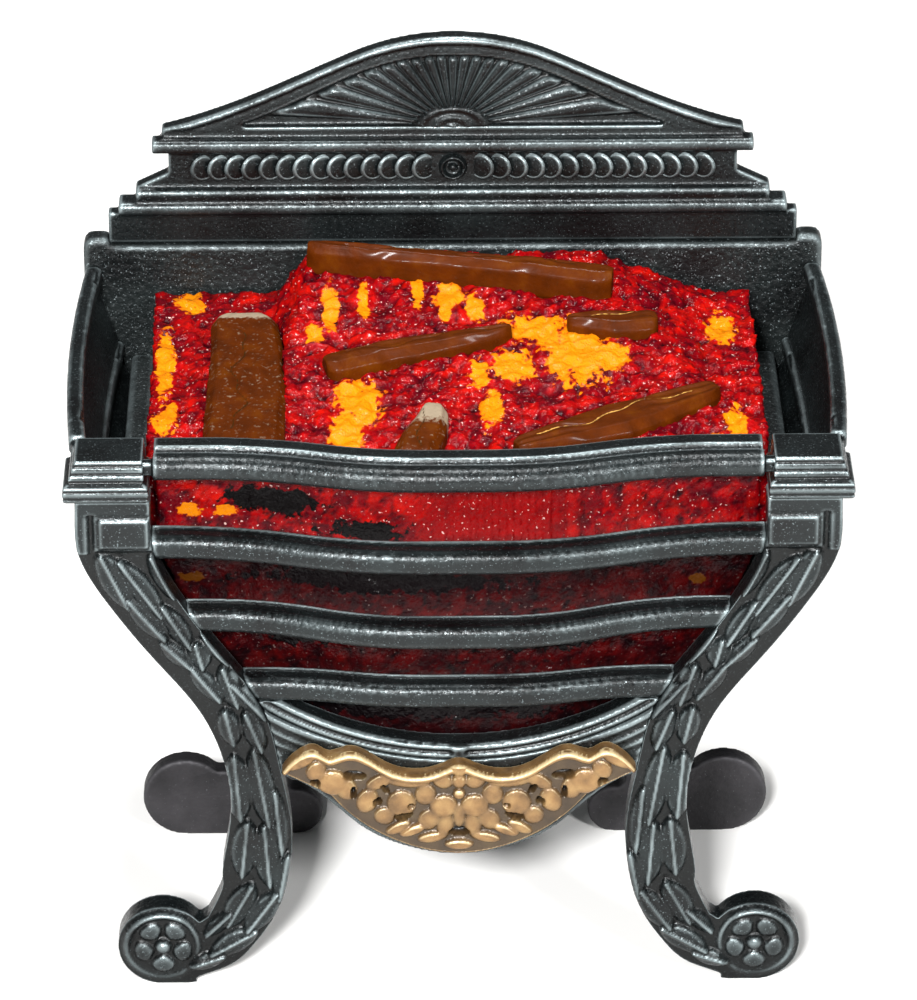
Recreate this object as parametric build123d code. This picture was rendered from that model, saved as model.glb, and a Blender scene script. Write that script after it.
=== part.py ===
from build123d import *
import os
from math import atan, degrees, sin, sqrt

# Miniature fire basket for a dolls' house hearth, one twelfth full size.
# Millimetres.  +Z is up, the bars face -Y, and the origin is on the ground
# at the middle of the whole object.

# ---- The whole grate ----
cap_span = 44.9              # over the mouldings of the two post caps
basket_depth = 25.4          # front face of the legs to the front face of the fireback
fit_clearance = 0.05         # all round each tenon, spigot, peg and dowel
lift_clearance = 0.3         # between the loose fire and the grate round it
cut_reach = 120.0            # a cut of this length goes right through the grate
edge_tolerance = 0.1         # for picking edges by where they lie

# ---- Front legs ----
leg_height = 32.7
leg_thickness = 1.6
leg_top_inset = 0.65         # outer face of the post, in from the cap's moulding
foot_radius = 2.65
foot_inset = 4.3             # centre of the scroll foot, in from the post's outer face
foot_flat = 0.03             # ground off the underside of the scroll, so that it stands
# share of the leg's height, outer edge's inset from the post, width across the leg
leg_stations = [
    (1.00, 0.00, 4.30),
    (0.90, 0.05, 4.30),
    (0.79, 1.75, 4.10),
    (0.67, 4.50, 4.00),
    (0.57, 6.85, 3.65),
    (0.46, 8.20, 3.15),
    (0.335, 8.40, 3.60),
    (0.23, 7.90, 3.90),
]
crotch_share = 0.14          # where the leg meets the top of its scroll
crotch_inset = 7.0
crotch_lean = 0.5            # sideways run of the outer edge there, for each millimetre of height
# share of the leg's height, inset of the inner edge where it sweeps out into the scroll
heel_stations = [
    (0.145, 10.95),
    (0.080, 9.60),
    (0.036, 8.05),
    (0.010, 6.20),
]

# ---- Post caps ----
cap_height = 2.45
cap_lip_height = 1.1
cap_lip_width = 4.9
cap_lip_depth = 4.0
cap_lip_overhang = 0.6       # lip, forward of the leg's front face
cap_lip_round = 0.3
cap_top_width = 3.85
cap_top_depth = 2.95
cap_top_shift = 0.2          # the top face stands nearer the bars than the lip does
cap_step = 0.25
peg_width = 1.6
peg_depth = 0.8
peg_length = 1.0

# ---- Front bars ----
top_bar_above_leg = 0.9      # underside of the top bar, above the leg's top
bar_drop_shares = (0.0, 0.153, 0.30, 0.44)    # undersides below the top bar's, as shares of leg_height
bar_bulges = (1.7, 2.1, 2.2, 1.0)    # how far each bar's middle stands forward of its ends
bar_height = 1.5
bar_setback = 0.05           # bar's front, behind the leg's front face
bar_back_inset = 0.1         # bar's back, in front of the leg's back face
bar_round_share = 0.41       # rounding of the front edges, as a share of bar_depth
bar_straight_end = 2.5
bar_flat_middle = 2.0        # half the straight middle
bar_line_width = 0.22        # raised line along the back of each bar
bar_line_height = 0.15
shelf_depth = 3.0            # the top bar is deeper, with a shelf behind its bead
shelf_height = 1.2
cove_radius = 0.35
top_bar_gap = 0.25           # between the top bar's moulding and the caps
tenon_height = 0.8
tenon_depth = 0.7
tenon_length = 2.2

# ---- Lower rail, apron and ornament ----
lower_rail_drop = 4.0        # middle of the lower rail, below the lowest bar's underside
lower_rail_overrun = 1.85    # middle of its ends, above the lowest bar's underside
lower_rail_width = 1.0
lower_rail_round = 0.3
apron_setback = 0.15
apron_depth = 6.4            # below the lower rail's middle
apron_inset = 0.2            # its sloping edges, in from the legs' inner edges
apron_shoulder_drop = 1.4    # where those edges start, below the lower rail's middle
# share of the apron's half width, share of its depth above the bottom
apron_curve = [
    (0.00, 0.00),
    (0.28, 0.08),
    (0.52, 0.27),
    (0.76, 0.63),
]
ornament_thickness = 0.9
ornament_gap = 0.15          # ornament's ends, in from the legs
ornament_edge = 0.6          # black edge of the apron showing below the ornament
# share of the ornament's half width, height of its upper edge above the lower rail's middle
ornament_crown = [
    (1.00, -0.70),
    (0.92, 0.30),
    (0.81, 0.75),
    (0.74, 0.35),
    (0.63, 0.65),
    (0.50, 0.15),
    (0.38, -0.65),
    (0.10, -0.60),
    (0.00, -0.20),
]

# ---- Side rails ----
side_rail_count = 3
side_rail_width = 1.0
side_rail_height = 1.2
side_rail_bow = 0.5          # middle of a rail, outside its ends
side_rail_insets = (0.25, 1.45, 3.60)    # outer edge at the ends, in from the cap's moulding
side_rail_round = 0.3
side_panel_thickness = 0.4   # sloping panel between one rail and the next
spigot_radius = 0.3
spigot_length = 0.8

# ---- Fireback and crest ----
fireback_thickness = 1.5
fireback_above_leg = 3.55    # its top edge, above the leg's top
fireback_inset = 0.15        # its outer edge, in from the cap's moulding
fireback_shoulder_drop = 6.25    # below its top edge, where its sides begin to come in
fireback_waist_drop = 12.25
fireback_waist_inset = 2.1
fireback_foot_inset = 7.7    # its lower corners, in from its outer edge
ear_width = 1.5
ear_height = 0.5
ear_round = 0.7
crest_height = 13.45         # fireback's top edge to the top of the crown
crest_thickness = 1.0
crest_gap = 0.05             # between the crest and the ears
fascia_height = 2.0
dowel_radius = 0.3
dowel_length = 1.2
dowel_inset = 10.3           # in from the fireback's outer edge
moulding_height = 0.85       # each half-round moulding of the crest
moulding_reach = 0.6
small_moulding_reach = 0.42
moulding_round = 0.38
frieze_height = 1.95
# sides of the crest's steps, in from the fireback's outer edge
step_insets = (2.2, 3.25)
frieze_inset = 5.25
pediment_inset = 4.9
pediment_end_height = 0.6
pediment_end_slope = 0.25
crown_radius = 14.5
crown_half_width = 5.9
fan_rim = 1.2
fan_inset = 4.1              # ends of the fan, in from the ends of the pediment
fan_end_slope = 0.3
fan_recess = 0.35
fan_sill = 0.7

# ---- Pan ----
pan_floor_drop = 1.1         # top of the floor, below the lower rail's middle
pan_floor_thickness = 1.0
pan_rim_drop = 3.7           # below the leg's top
pan_rim_inset = 4.25         # inner edge of the rim, in from the cap's moulding
pan_lean = 6.0               # edge of the floor, in from the rim
pan_wall = 0.9               # across the wall, measured level
pan_rim_width = 1.4          # level ledge turned outwards round the top of each wall
pan_rim_thickness = 0.8

# ---- Rear feet ----
rear_foot_setback = 16.7     # front of the rear feet, behind the front of the legs
rear_foot_thickness = 1.3
rear_foot_inset = 6.2        # middle of the neck, in from the pan's rim
rear_foot_neck = 3.0
rear_lobe_radius = 2.65
rear_lobe_offset = 4.6
rear_heel_radius = 1.6
rear_heel_offset = 2.2
rear_foot_height = 4.5
rear_foot_fillet = 0.6

# ---- Fire ----
# heights of the bed's top above the pan's rim
fire_front_rise = 3.2
fire_rear_rise = 7.0
fire_side_rise = 4.3
fire_crown_rise = 7.0
fire_crown_inset = 9.6       # edge of the crown, in from the pan's rim
fire_crown_slope_widths = (2.2, 6.4)    # the crown falls steeply on the left, gently on the right
seat_clearance = 0.04        # between a log and its bed
log_round = 0.5
# name: start and end as shares of the fire's half width and depth, width, thickness, sink
logs = {
    "log_left": ((-0.68, 0.11), (-0.70, 0.79), 4.8, 2.4, 1.2),
    "log_back": ((-0.49, 0.95), (0.53, 0.81), 2.0, 2.4, 0.8),
    "log_middle": ((-0.43, 0.48), (0.185, 0.63), 2.2, 1.9, 1.0),
    "log_small": ((0.37, 0.65), (0.67, 0.68), 2.6, 1.7, 0.8),
    "log_right": ((0.19, 0.125), (0.85, 0.40), 3.4, 1.9, 1.0),
    "log_stub": ((-0.13, 0.085), (-0.08, 0.29), 2.6, 2.4, 1.2),
}

# ---- Places that follow from the sizes ----
cap_edge = cap_span / 2
post_edge = cap_edge - leg_top_inset
cap_inner = cap_edge - cap_lip_width
front_reach = max(bar_bulges) - bar_setback
front_y = (front_reach - basket_depth - fireback_thickness) / 2
leg_back_y = front_y + leg_thickness
back_y = front_y + basket_depth
rear_y = back_y + fireback_thickness
top_bar_z = leg_height + top_bar_above_leg
bar_zs = [top_bar_z - share * leg_height for share in bar_drop_shares]
bar_depth = leg_thickness - bar_setback - bar_back_inset
rail_middle_z = bar_zs[-1] - lower_rail_drop + lower_rail_width / 2
fireback_height = leg_height + fireback_above_leg
fireback_edge = cap_edge - fireback_inset
overall_height = fireback_height + crest_height
pan_floor_height = rail_middle_z - pan_floor_drop
pan_rim_height = leg_height - pan_rim_drop
pan_rim_half_width = cap_edge - pan_rim_inset
pan_floor_half_width = pan_rim_half_width - pan_lean
rear_foot_centre = pan_rim_half_width - rear_foot_inset
fire_crown_half_width = pan_rim_half_width - fire_crown_inset
fire_front_height = pan_rim_height + fire_front_rise
fire_rear_height = pan_rim_height + fire_rear_rise
fire_side_height = pan_rim_height + fire_side_rise
fire_crown_height = pan_rim_height + fire_crown_rise
fire_front_y = leg_back_y + lift_clearance
fire_rear_y = back_y - lift_clearance


# ---- Shared helpers ----
def both_sides(shape):
    """The right-hand piece and its mirror image on the left."""
    return {"left": mirror(shape, about=Plane.YZ), "right": shape}


def slab(outline, y_front, thickness):
    """A flat casting: an upright outline given thickness backwards from y_front."""
    return Pos(0, y_front, 0) * extrude(outline, amount=-thickness)


def upright(*edges):
    """A face in the X-Z plane from edges drawn as (x, z)."""
    return Plane.XZ * make_face(edges)


def symmetric_polygon(half_points):
    """An upright face from its right-hand points, given from bottom to top."""
    left_points = [(-x, z) for x, z in reversed(half_points) if x > 0]
    return upright(Polyline(*half_points, *left_points, close=True))


def round_bar(length, centre, radius, direction):
    """A round pin of the given length about a centre point."""
    return Plane(origin=centre, z_dir=direction) * Cylinder(radius, length)


def leg_station(z):
    """Inset of a leg's outer edge from its post, and the leg's width, at height z."""
    share = z / leg_height
    for upper, lower in zip(leg_stations, leg_stations[1:]):
        if share >= lower[0]:
            blend = (upper[0] - share) / (upper[0] - lower[0])
            inset = upper[1] + (lower[1] - upper[1]) * blend
            width = upper[2] + (lower[2] - upper[2]) * blend
            return inset, width
    return leg_stations[-1][1:]


def leg_middle_x(z):
    """Distance from the grate's middle to the middle of a leg, at height z."""
    inset, width = leg_station(z)
    return post_edge - inset - width / 2


def leg_inner_x(z):
    """Distance from the grate's middle to the inner edge of a leg, at height z."""
    inset, width = leg_station(z)
    return post_edge - inset - width


# ---- Front legs ----
def leg_outline():
    """Right-hand leg, seen from the front: post, sweep and scroll foot."""
    outer_points = [(post_edge - inset, share * leg_height) for share, inset, _ in leg_stations]
    inner_points = [
        (post_edge - inset - width, share * leg_height) for share, inset, width in leg_stations
    ]
    crotch = (post_edge - crotch_inset, crotch_share * leg_height)
    heel_points = [(post_edge - inset, share * leg_height) for share, inset in heel_stations]
    foot_centre = (post_edge - foot_inset, foot_radius)
    sole = (post_edge - foot_inset, 0)
    outer = Spline(*outer_points, crotch, tangents=[(0, -1), (crotch_lean, -1)])
    inner = Spline(*inner_points, *heel_points, sole, tangents=[(0, -1), (1, 0)])
    sweep_face = make_face(
        [
            outer,
            Line(crotch, foot_centre),
            Line(foot_centre, sole),
            inner,
            Line(inner_points[0], outer_points[0]),
        ]
    )
    scroll = Pos(*foot_centre) * Circle(foot_radius)
    return Plane.XZ * (sweep_face + scroll)


def leg_blank():
    """Leg casting before its sockets are cut, ground flat under the scroll."""
    ground = Box(cut_reach, cut_reach, 2 * foot_flat)
    return Pos(0, 0, -foot_flat) * (slab(leg_outline(), front_y, leg_thickness) - ground)


def cap_peg(extra=0.0):
    """Square peg under a cap; the socket in the leg is the same peg made larger."""
    return Pos(
        post_edge - leg_stations[0][2] / 2,
        front_y + leg_thickness / 2,
        leg_height - foot_flat,
    ) * Box(peg_width + 2 * extra, peg_depth + 2 * extra, 2 * (peg_length + extra))


# ---- Post caps ----
def cap_blank():
    """Moulded cap: a rounded lip, a sloping shoulder and a flat top."""
    lip_x = cap_edge - cap_lip_width / 2
    lip_y = front_y - cap_lip_overhang + cap_lip_depth / 2
    base_z = leg_height - foot_flat
    lip = Pos(lip_x, lip_y, base_z + cap_lip_height / 2) * Box(
        cap_lip_width, cap_lip_depth, cap_lip_height
    )
    lip = fillet(lip.edges().filter_by(Axis.Z, reverse=True), cap_lip_round)
    shoulder_low = Pos(lip_x, lip_y, base_z + cap_lip_height) * Rectangle(
        cap_lip_width - 2 * cap_step, cap_lip_depth - 2 * cap_step
    )
    top_y = front_y + cap_top_depth / 2
    shoulder_high = Pos(lip_x - cap_top_shift, top_y, base_z + cap_height) * Rectangle(
        cap_top_width, cap_top_depth
    )
    return lip + loft([shoulder_low, shoulder_high])


# ---- Bars ----
def bar_path(half_length, bulge):
    """Plan of a bar: straight ends, an ogee each side and a straight middle."""
    ogee_run = half_length - bar_straight_end - bar_flat_middle
    turn = 2 * atan(bulge / ogee_run)
    radius = ogee_run / (2 * sin(turn))
    arc_size = degrees(turn)
    end = Line((-half_length, 0), (bar_straight_end - half_length, 0))
    first = JernArc(end @ 1, (1, 0), radius, -arc_size)
    second = JernArc(first @ 1, first % 1, radius, arc_size)
    half = [end, first, second]
    other_half = [mirror(edge, about=Plane.YZ) for edge in half]
    middle = Line(second @ 1, (-(second @ 1).X, (second @ 1).Y))
    pieces = half + [middle] + other_half
    return Wire([piece.edge() for piece in pieces])


def bar_section():
    """Rounded front, flat top and a raised line along the back edge."""
    body = Pos(bar_depth / 2, bar_height / 2) * RectangleRounded(
        bar_depth, bar_height, bar_round_share * bar_depth
    )
    back = Pos(bar_depth * 3 / 4, bar_height / 2) * Rectangle(bar_depth / 2, bar_height)
    line = Pos(bar_depth - bar_line_width / 2, bar_height) * Rectangle(
        bar_line_width, 2 * bar_line_height
    )
    return body + back + line


def top_bar_section():
    """A half-round bead in front, a cove, and a level shelf behind."""
    bead_radius = bar_height / 2
    bead = Pos(bead_radius, bead_radius) * Circle(bead_radius)
    shelf = Pos((shelf_depth + bead_radius) / 2, bar_height - shelf_height / 2) * Rectangle(
        shelf_depth - bead_radius, shelf_height
    )
    cove = Pos(2 * bead_radius, bar_height) * Circle(cove_radius)
    return bead + shelf - cove


def swept_bar(section, half_length, bulge, z):
    """A section carried along a bar's plan, at height z."""
    place = Plane(origin=(-half_length, 0, 0), x_dir=(0, 1, 0), z_dir=(1, 0, 0))
    bar = sweep(place * section, path=bar_path(half_length, bulge))
    return Pos(0, front_y + bar_setback, z) * bar


def bar_tenons(reach, z, extra=0.0):
    """The two tenons of one bar, each with its outer end at the given reach."""
    centre_y = front_y + bar_setback + bar_depth / 2
    tenon = Pos(reach - tenon_length / 2, centre_y, z + bar_height / 2) * Box(
        tenon_length + 2 * extra, tenon_depth + 2 * extra, tenon_height + 2 * extra
    )
    return both_sides(tenon)


# ---- Side rails ----
def rail_outer_x(level):
    return cap_edge - side_rail_insets[level]


def rail_front_y(level):
    """The top rail starts behind the cap, the others behind the leg."""
    if level == 0:
        return front_y - cap_lip_overhang + cap_lip_depth
    return leg_back_y


def side_rail(level):
    """Right-hand rail, bowed outwards between the front and the fireback."""
    outer = rail_outer_x(level)
    inner = outer - side_rail_width
    start = rail_front_y(level)
    middle = (start + back_y) / 2
    plan = make_face(
        [
            ThreePointArc((outer, start), (outer + side_rail_bow, middle), (outer, back_y)),
            Line((outer, back_y), (inner, back_y)),
            ThreePointArc((inner, back_y), (inner + side_rail_bow, middle), (inner, start)),
            Line((inner, start), (outer, start)),
        ]
    )
    z = bar_zs[level] + (bar_height - side_rail_height) / 2
    rail = Pos(0, 0, z) * extrude(plan, amount=side_rail_height)
    long_edges = rail.edges().filter_by(GeomType.CIRCLE)
    return fillet(long_edges, side_rail_round)


def side_panel(level):
    """Thin sloping panel from the underside of one right-hand rail to the top of the next."""
    start = leg_back_y
    middle = (start + back_y) / 2
    strips = []
    for rail, share in ((level + 1, 1), (level, 0)):
        outer = rail_outer_x(rail) - (side_rail_width - side_panel_thickness) / 2
        inner = outer - side_panel_thickness
        rail_start = rail_front_y(rail)
        rail_middle = (rail_start + back_y) / 2
        bow = side_rail_bow * (1 - ((middle - rail_middle) / (back_y - rail_middle)) ** 2)
        z = bar_zs[rail] + (bar_height - side_rail_height) / 2 + share * side_rail_height
        strip = make_face(
            [
                ThreePointArc((outer, start), (outer + bow, middle), (outer, back_y)),
                Line((outer, back_y), (inner, back_y)),
                ThreePointArc((inner, back_y), (inner + bow, middle), (inner, start)),
                Line((inner, start), (outer, start)),
            ]
        )
        strips.append(Pos(0, 0, z) * strip)
    return loft(strips)


def rail_spigots(level, extra=0.0):
    """Round ends of a rail, in front and behind."""
    x = rail_outer_x(level) - side_rail_width / 2
    z = bar_zs[level] + bar_height / 2
    radius = spigot_radius + extra
    length = 2 * (spigot_length + extra)
    front = round_bar(length, (x, rail_front_y(level), z), radius, (0, 1, 0))
    rear = round_bar(length, (x, back_y, z), radius, (0, 1, 0))
    return front, rear


# ---- Lower rail, apron and ornament ----
def lower_rail_radius():
    """Radius that carries the rail's middle line from its lowest point up into the legs."""
    reach = leg_middle_x(bar_zs[-1])
    rise = bar_zs[-1] + lower_rail_overrun - rail_middle_z
    return (reach**2 + rise**2) / (2 * rise)


def lower_rail_blank():
    """Curved rail under the bars, part of a ring about a point above."""
    half = lower_rail_width / 2
    radius = lower_rail_radius()
    ring = Circle(radius + half) - Circle(radius - half)
    ring = Pos(0, rail_middle_z + radius) * ring
    keep = Pos(0, rail_middle_z) * Rectangle(
        2 * leg_middle_x(bar_zs[-1]), 2 * (bar_zs[-1] - rail_middle_z)
    )
    rail = slab(Plane.XZ * (ring & keep), front_y + apron_setback, leg_thickness - apron_setback)
    front_edges = rail.edges().filter_by(GeomType.CIRCLE).group_by(Axis.Y)[0]
    return fillet(front_edges, lower_rail_round)


def apron_outline(margin):
    """Lower edge of the apron, or of the ornament when it is drawn in by a margin."""
    shoulder = rail_middle_z - apron_shoulder_drop
    bottom = rail_middle_z - apron_depth - lower_rail_width / 2 + margin
    wide = leg_inner_x(rail_middle_z) - apron_inset - margin
    curve = [(share_x * wide, bottom + share_z * apron_depth) for share_x, share_z in apron_curve]
    return curve + [(wide, shoulder + margin)]


def apron_blank():
    """Black backing plate, hung under the lower rail between the legs."""
    half = apron_outline(0.0)
    reach = leg_middle_x(rail_middle_z)
    rim = Spline(*[(-x, z) for x, z in reversed(half[1:])], *half)
    top_z = bar_zs[-1]
    face = upright(
        rim,
        Line(half[-1], (reach, half[-1][1])),
        Line((reach, half[-1][1]), (reach, top_z)),
        Line((reach, top_z), (-reach, top_z)),
        Line((-reach, top_z), (-reach, half[-1][1])),
        Line((-reach, half[-1][1]), (-half[-1][0], half[-1][1])),
    )
    radius = lower_rail_radius()
    hole = Pos(0, rail_middle_z + radius) * Circle(radius + lower_rail_width / 2)
    face = face - Plane.XZ * hole
    return slab(face, front_y + apron_setback, leg_thickness - apron_setback)


def ornament():
    """Pierced scroll ornament, laid on the front of the apron."""
    half = apron_outline(ornament_edge)
    tip_z = rail_middle_z + ornament_crown[0][1]
    tip = leg_inner_x(tip_z) - ornament_gap
    crown = [(share * tip, rail_middle_z + rise) for share, rise in ornament_crown]
    upper = Spline(*crown, *[(-x, z) for x, z in reversed(crown[:-1])])
    lower = Spline(*[(-x, z) for x, z in reversed(half[1:-1])], *half[:-1])
    edge = half[-2]
    face = upright(
        lower,
        Line(edge, crown[0]),
        upper,
        Line((-crown[0][0], crown[0][1]), (-edge[0], edge[1])),
    )
    return slab(face, front_y + apron_setback - ornament_thickness, ornament_thickness)


# ---- Fireback and crest ----
def fireback_blank():
    """Upright back plate with a small rounded ear at each top corner."""
    ear_inner = fireback_edge - ear_width
    half_points = [
        (0, pan_floor_height - pan_floor_thickness - fireback_thickness),
        (fireback_edge - fireback_foot_inset, pan_floor_height - pan_floor_thickness - fireback_thickness),
        (fireback_edge - fireback_waist_inset, fireback_height - fireback_waist_drop),
        (fireback_edge, fireback_height - fireback_shoulder_drop),
        (fireback_edge, fireback_height + ear_height),
        (ear_inner, fireback_height + ear_height),
        (ear_inner, fireback_height),
        (0, fireback_height),
    ]
    plate = slab(symmetric_polygon(half_points), back_y, fireback_thickness)
    corners = plate.edges().filter_by(Axis.Y).filter_by(
        lambda edge: edge.center().Z > fireback_height and abs(edge.center().X) > ear_inner + ear_round
    )
    return fillet(corners, ear_round)


def crest_dowels(extra=0.0):
    """Two dowels that stand the crest on the fireback's top edge."""
    middle_y = rear_y - crest_thickness / 2
    length = 2 * (dowel_length + extra)
    place = Pos(fireback_edge - dowel_inset, middle_y, fireback_height)
    dowel = place * Cylinder(dowel_radius + extra, length)
    return both_sides(dowel)


def moulding(half_width, z, reach):
    """A half-round moulding across the crest, with rounded ends."""
    rod = Pos(0, 0, z + moulding_height / 2) * Box(2 * half_width, 2 * reach, moulding_height)
    long_edges = rod.edges().filter_by(Axis.X).group_by(Axis.Y)[0]
    rod = fillet(long_edges, moulding_round)
    return Pos(0, rear_y - crest_thickness, 0) * rod


def crest_blank():
    """Crest: fascia, stepped mouldings, frieze, cornice and an ogee pediment."""
    fascia_half = fireback_edge - ear_width - crest_gap
    first_half, second_half = [fireback_edge - inset for inset in step_insets]
    frieze_half = fireback_edge - frieze_inset
    pediment_half = fireback_edge - pediment_inset
    fan_half = pediment_half - fan_inset
    fascia_top = fireback_height + fascia_height
    second_z = fascia_top + moulding_height
    first_z = second_z + moulding_height
    frieze_top = first_z + frieze_height + moulding_height / 2
    cornice_top = frieze_top + moulding_height
    end_top = cornice_top + pediment_end_height
    crown_drop = crown_radius - sqrt(crown_radius**2 - crown_half_width**2)
    crown_slope = crown_half_width / (crown_radius - crown_drop)
    crown_edge = (crown_half_width, overall_height - crown_drop)
    body = symmetric_polygon(
        [
            (0, fireback_height),
            (fascia_half, fireback_height),
            (fascia_half, fascia_top),
            (first_half, fascia_top),
            (first_half, second_z),
            (second_half, second_z),
            (second_half, first_z),
            (frieze_half, first_z + frieze_height / 2),
            (frieze_half, frieze_top),
            (pediment_half, cornice_top),
            (pediment_half, end_top),
            (0, end_top),
        ]
    )
    left_end = (-pediment_half, end_top)
    right_end = (pediment_half, end_top)
    left_edge = (-crown_edge[0], crown_edge[1])
    pediment = upright(
        Line(left_end, right_end),
        Spline(right_end, crown_edge, tangents=[(-1, pediment_end_slope), (-1, crown_slope)]),
        ThreePointArc(crown_edge, (0, overall_height), left_edge),
        Spline(left_edge, left_end, tangents=[(-1, -crown_slope), (-1, -pediment_end_slope)]),
    )
    plate = slab(body + pediment, rear_y - crest_thickness, crest_thickness)
    sill_z = cornice_top + fan_sill
    fan_low_edge = (fan_half, sill_z)
    fan_high_edge = (crown_half_width, crown_edge[1] - fan_rim)
    fan = upright(
        Line((-fan_half, sill_z), fan_low_edge),
        Spline(fan_low_edge, fan_high_edge, tangents=[(-1, fan_end_slope), (-1, crown_slope)]),
        ThreePointArc(
            fan_high_edge, (0, overall_height - fan_rim), (-crown_half_width, crown_edge[1] - fan_rim)
        ),
        Spline(
            (-crown_half_width, crown_edge[1] - fan_rim),
            (-fan_half, sill_z),
            tangents=[(-1, -crown_slope), (-1, -fan_end_slope)],
        ),
    )
    plate = plate - slab(fan, rear_y - crest_thickness, fan_recess)
    mouldings = (
        moulding(first_half, fascia_top, moulding_reach)
        + moulding(second_half, second_z, small_moulding_reach)
        + moulding(pediment_half + moulding_reach, frieze_top, moulding_reach)
    )
    return plate + mouldings


# ---- Pan ----
def pan_wall_slope():
    """Sideways run of a pan wall for each millimetre of height."""
    return (pan_rim_half_width - pan_floor_half_width) / (pan_rim_height - pan_floor_height)


def pan_floor():
    """Level plate that carries the fire, between the two sloping walls."""
    underside = pan_floor_height - pan_floor_thickness
    low_half = pan_floor_half_width - pan_floor_thickness * pan_wall_slope()
    face = symmetric_polygon(
        [
            (0, underside),
            (low_half, underside),
            (pan_floor_half_width, pan_floor_height),
            (0, pan_floor_height),
        ]
    )
    return slab(face, leg_back_y, back_y - leg_back_y)


def pan_side():
    """Right-hand wall of the pan, sloping outwards to a level rim."""
    underside = pan_floor_height - pan_floor_thickness
    low_half = pan_floor_half_width - pan_floor_thickness * pan_wall_slope()
    ledge_z = pan_rim_height - pan_rim_thickness
    neck_half = pan_rim_half_width - pan_rim_thickness * pan_wall_slope() + pan_wall
    corners = [
        (low_half, underside),
        (low_half + pan_wall, underside),
        (neck_half, ledge_z),
        (pan_rim_half_width + pan_rim_width, ledge_z),
        (pan_rim_half_width + pan_rim_width, pan_rim_height),
        (pan_rim_half_width, pan_rim_height),
    ]
    return slab(upright(Polyline(*corners, close=True)), leg_back_y, back_y - leg_back_y)


# ---- Rear feet ----
def rear_foot():
    """Right-hand rear foot: a flat plate with a round outer lobe and a neck to the pan."""
    neck_top = pan_floor_height - pan_floor_thickness
    lobe_x = rear_foot_centre + rear_lobe_offset
    heel_x = rear_foot_centre - rear_heel_offset
    lobe = Pos(lobe_x, rear_lobe_radius) * Circle(rear_lobe_radius)
    heel = Pos(heel_x, rear_heel_radius) * Circle(rear_heel_radius)
    base = Pos((lobe_x + heel_x) / 2, rear_heel_radius) * Rectangle(lobe_x - heel_x, 2 * rear_heel_radius)
    web = Pos((lobe_x + rear_foot_centre) / 2, rear_foot_height / 2) * Rectangle(
        lobe_x - rear_foot_centre, rear_foot_height
    )
    neck = Pos(rear_foot_centre, neck_top / 2) * Rectangle(rear_foot_neck, neck_top)
    outline = lobe + heel + base + web + neck
    plate = slab(Plane.XZ * outline, front_y + rear_foot_setback, rear_foot_thickness)
    inner_x = rear_foot_centre + rear_foot_neck / 2
    outer_x = rear_foot_centre - rear_foot_neck / 2
    notches = plate.edges().filter_by(Axis.Y).filter_by(
        lambda edge: rear_heel_radius < edge.center().Z < rear_foot_height + edge_tolerance
        and min(abs(edge.center().X - inner_x), abs(edge.center().X - outer_x)) < edge_tolerance
    )
    return fillet(notches, rear_foot_fillet)


# ---- Fire ----
def fire_half_width():
    """Half the bed's width above the pan's rim, clear of the wall all the way up."""
    return pan_rim_half_width - lift_clearance


def fire_top_z(x, y):
    """Height of the bed's top: it slopes up to the back and is crowned in the middle."""
    share = (y - fire_front_y) / (fire_rear_y - fire_front_y)
    slope_z = fire_front_height + share * (fire_rear_height - fire_front_height)
    left_width, right_width = fire_crown_slope_widths
    slope_width = right_width if x > 0 else left_width
    fall = (abs(x) - fire_crown_half_width) / slope_width
    fall = min(max(fall, 0), 1)
    crown_z = fire_crown_height - fall * (fire_crown_height - fire_side_height)
    return min(slope_z, crown_z)


def bed_blank():
    """The moulded bed of coals, before the logs' seats are cut."""
    wide = fire_half_width()
    narrow = pan_floor_half_width - lift_clearance
    left_width, right_width = fire_crown_slope_widths
    corners = [
        (narrow, pan_floor_height),
        (wide, pan_rim_height),
        (wide, fire_side_height),
        (fire_crown_half_width + right_width, fire_side_height),
        (fire_crown_half_width, fire_crown_height),
        (-fire_crown_half_width, fire_crown_height),
        (-fire_crown_half_width - left_width, fire_side_height),
        (-wide, fire_side_height),
        (-wide, pan_rim_height),
        (-narrow, pan_floor_height),
    ]
    front_view = upright(Polyline(*corners, close=True))
    block = slab(front_view, fire_front_y, fire_rear_y - fire_front_y)
    side_view = Plane.YZ * make_face(
        Polyline(
            (fire_front_y, pan_floor_height),
            (fire_rear_y, pan_floor_height),
            (fire_rear_y, fire_rear_height),
            (fire_front_y, fire_front_height),
            close=True,
        )
    )
    block = block & extrude(side_view, amount=2 * wide, both=True)
    return block - bars_keepout()


def bars_keepout():
    """Room that the loose bed leaves behind the bars and caps, so that it lifts straight out."""
    bar_back = bar_setback + shelf_depth + lift_clearance
    cap_back = cap_lip_depth - cap_lip_overhang + lift_clearance
    half_length = cap_inner - top_bar_gap
    section = Pos(bar_back / 2 - shelf_depth, 0) * Rectangle(bar_back + 2 * shelf_depth, cut_reach)
    place = Plane(origin=(-half_length, 0, 0), x_dir=(0, 1, 0), z_dir=(1, 0, 0))
    room = Pos(0, front_y, 0) * sweep(place * section, path=bar_path(half_length, bar_bulges[0]))
    corner_width = cap_lip_width + 2 * lift_clearance
    corner = Pos(
        cap_inner - lift_clearance + corner_width / 2,
        front_y,
        0,
    ) * Box(corner_width, 2 * cap_back, cut_reach)
    corners = both_sides(corner)
    return room + corners["left"] + corners["right"]


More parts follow.
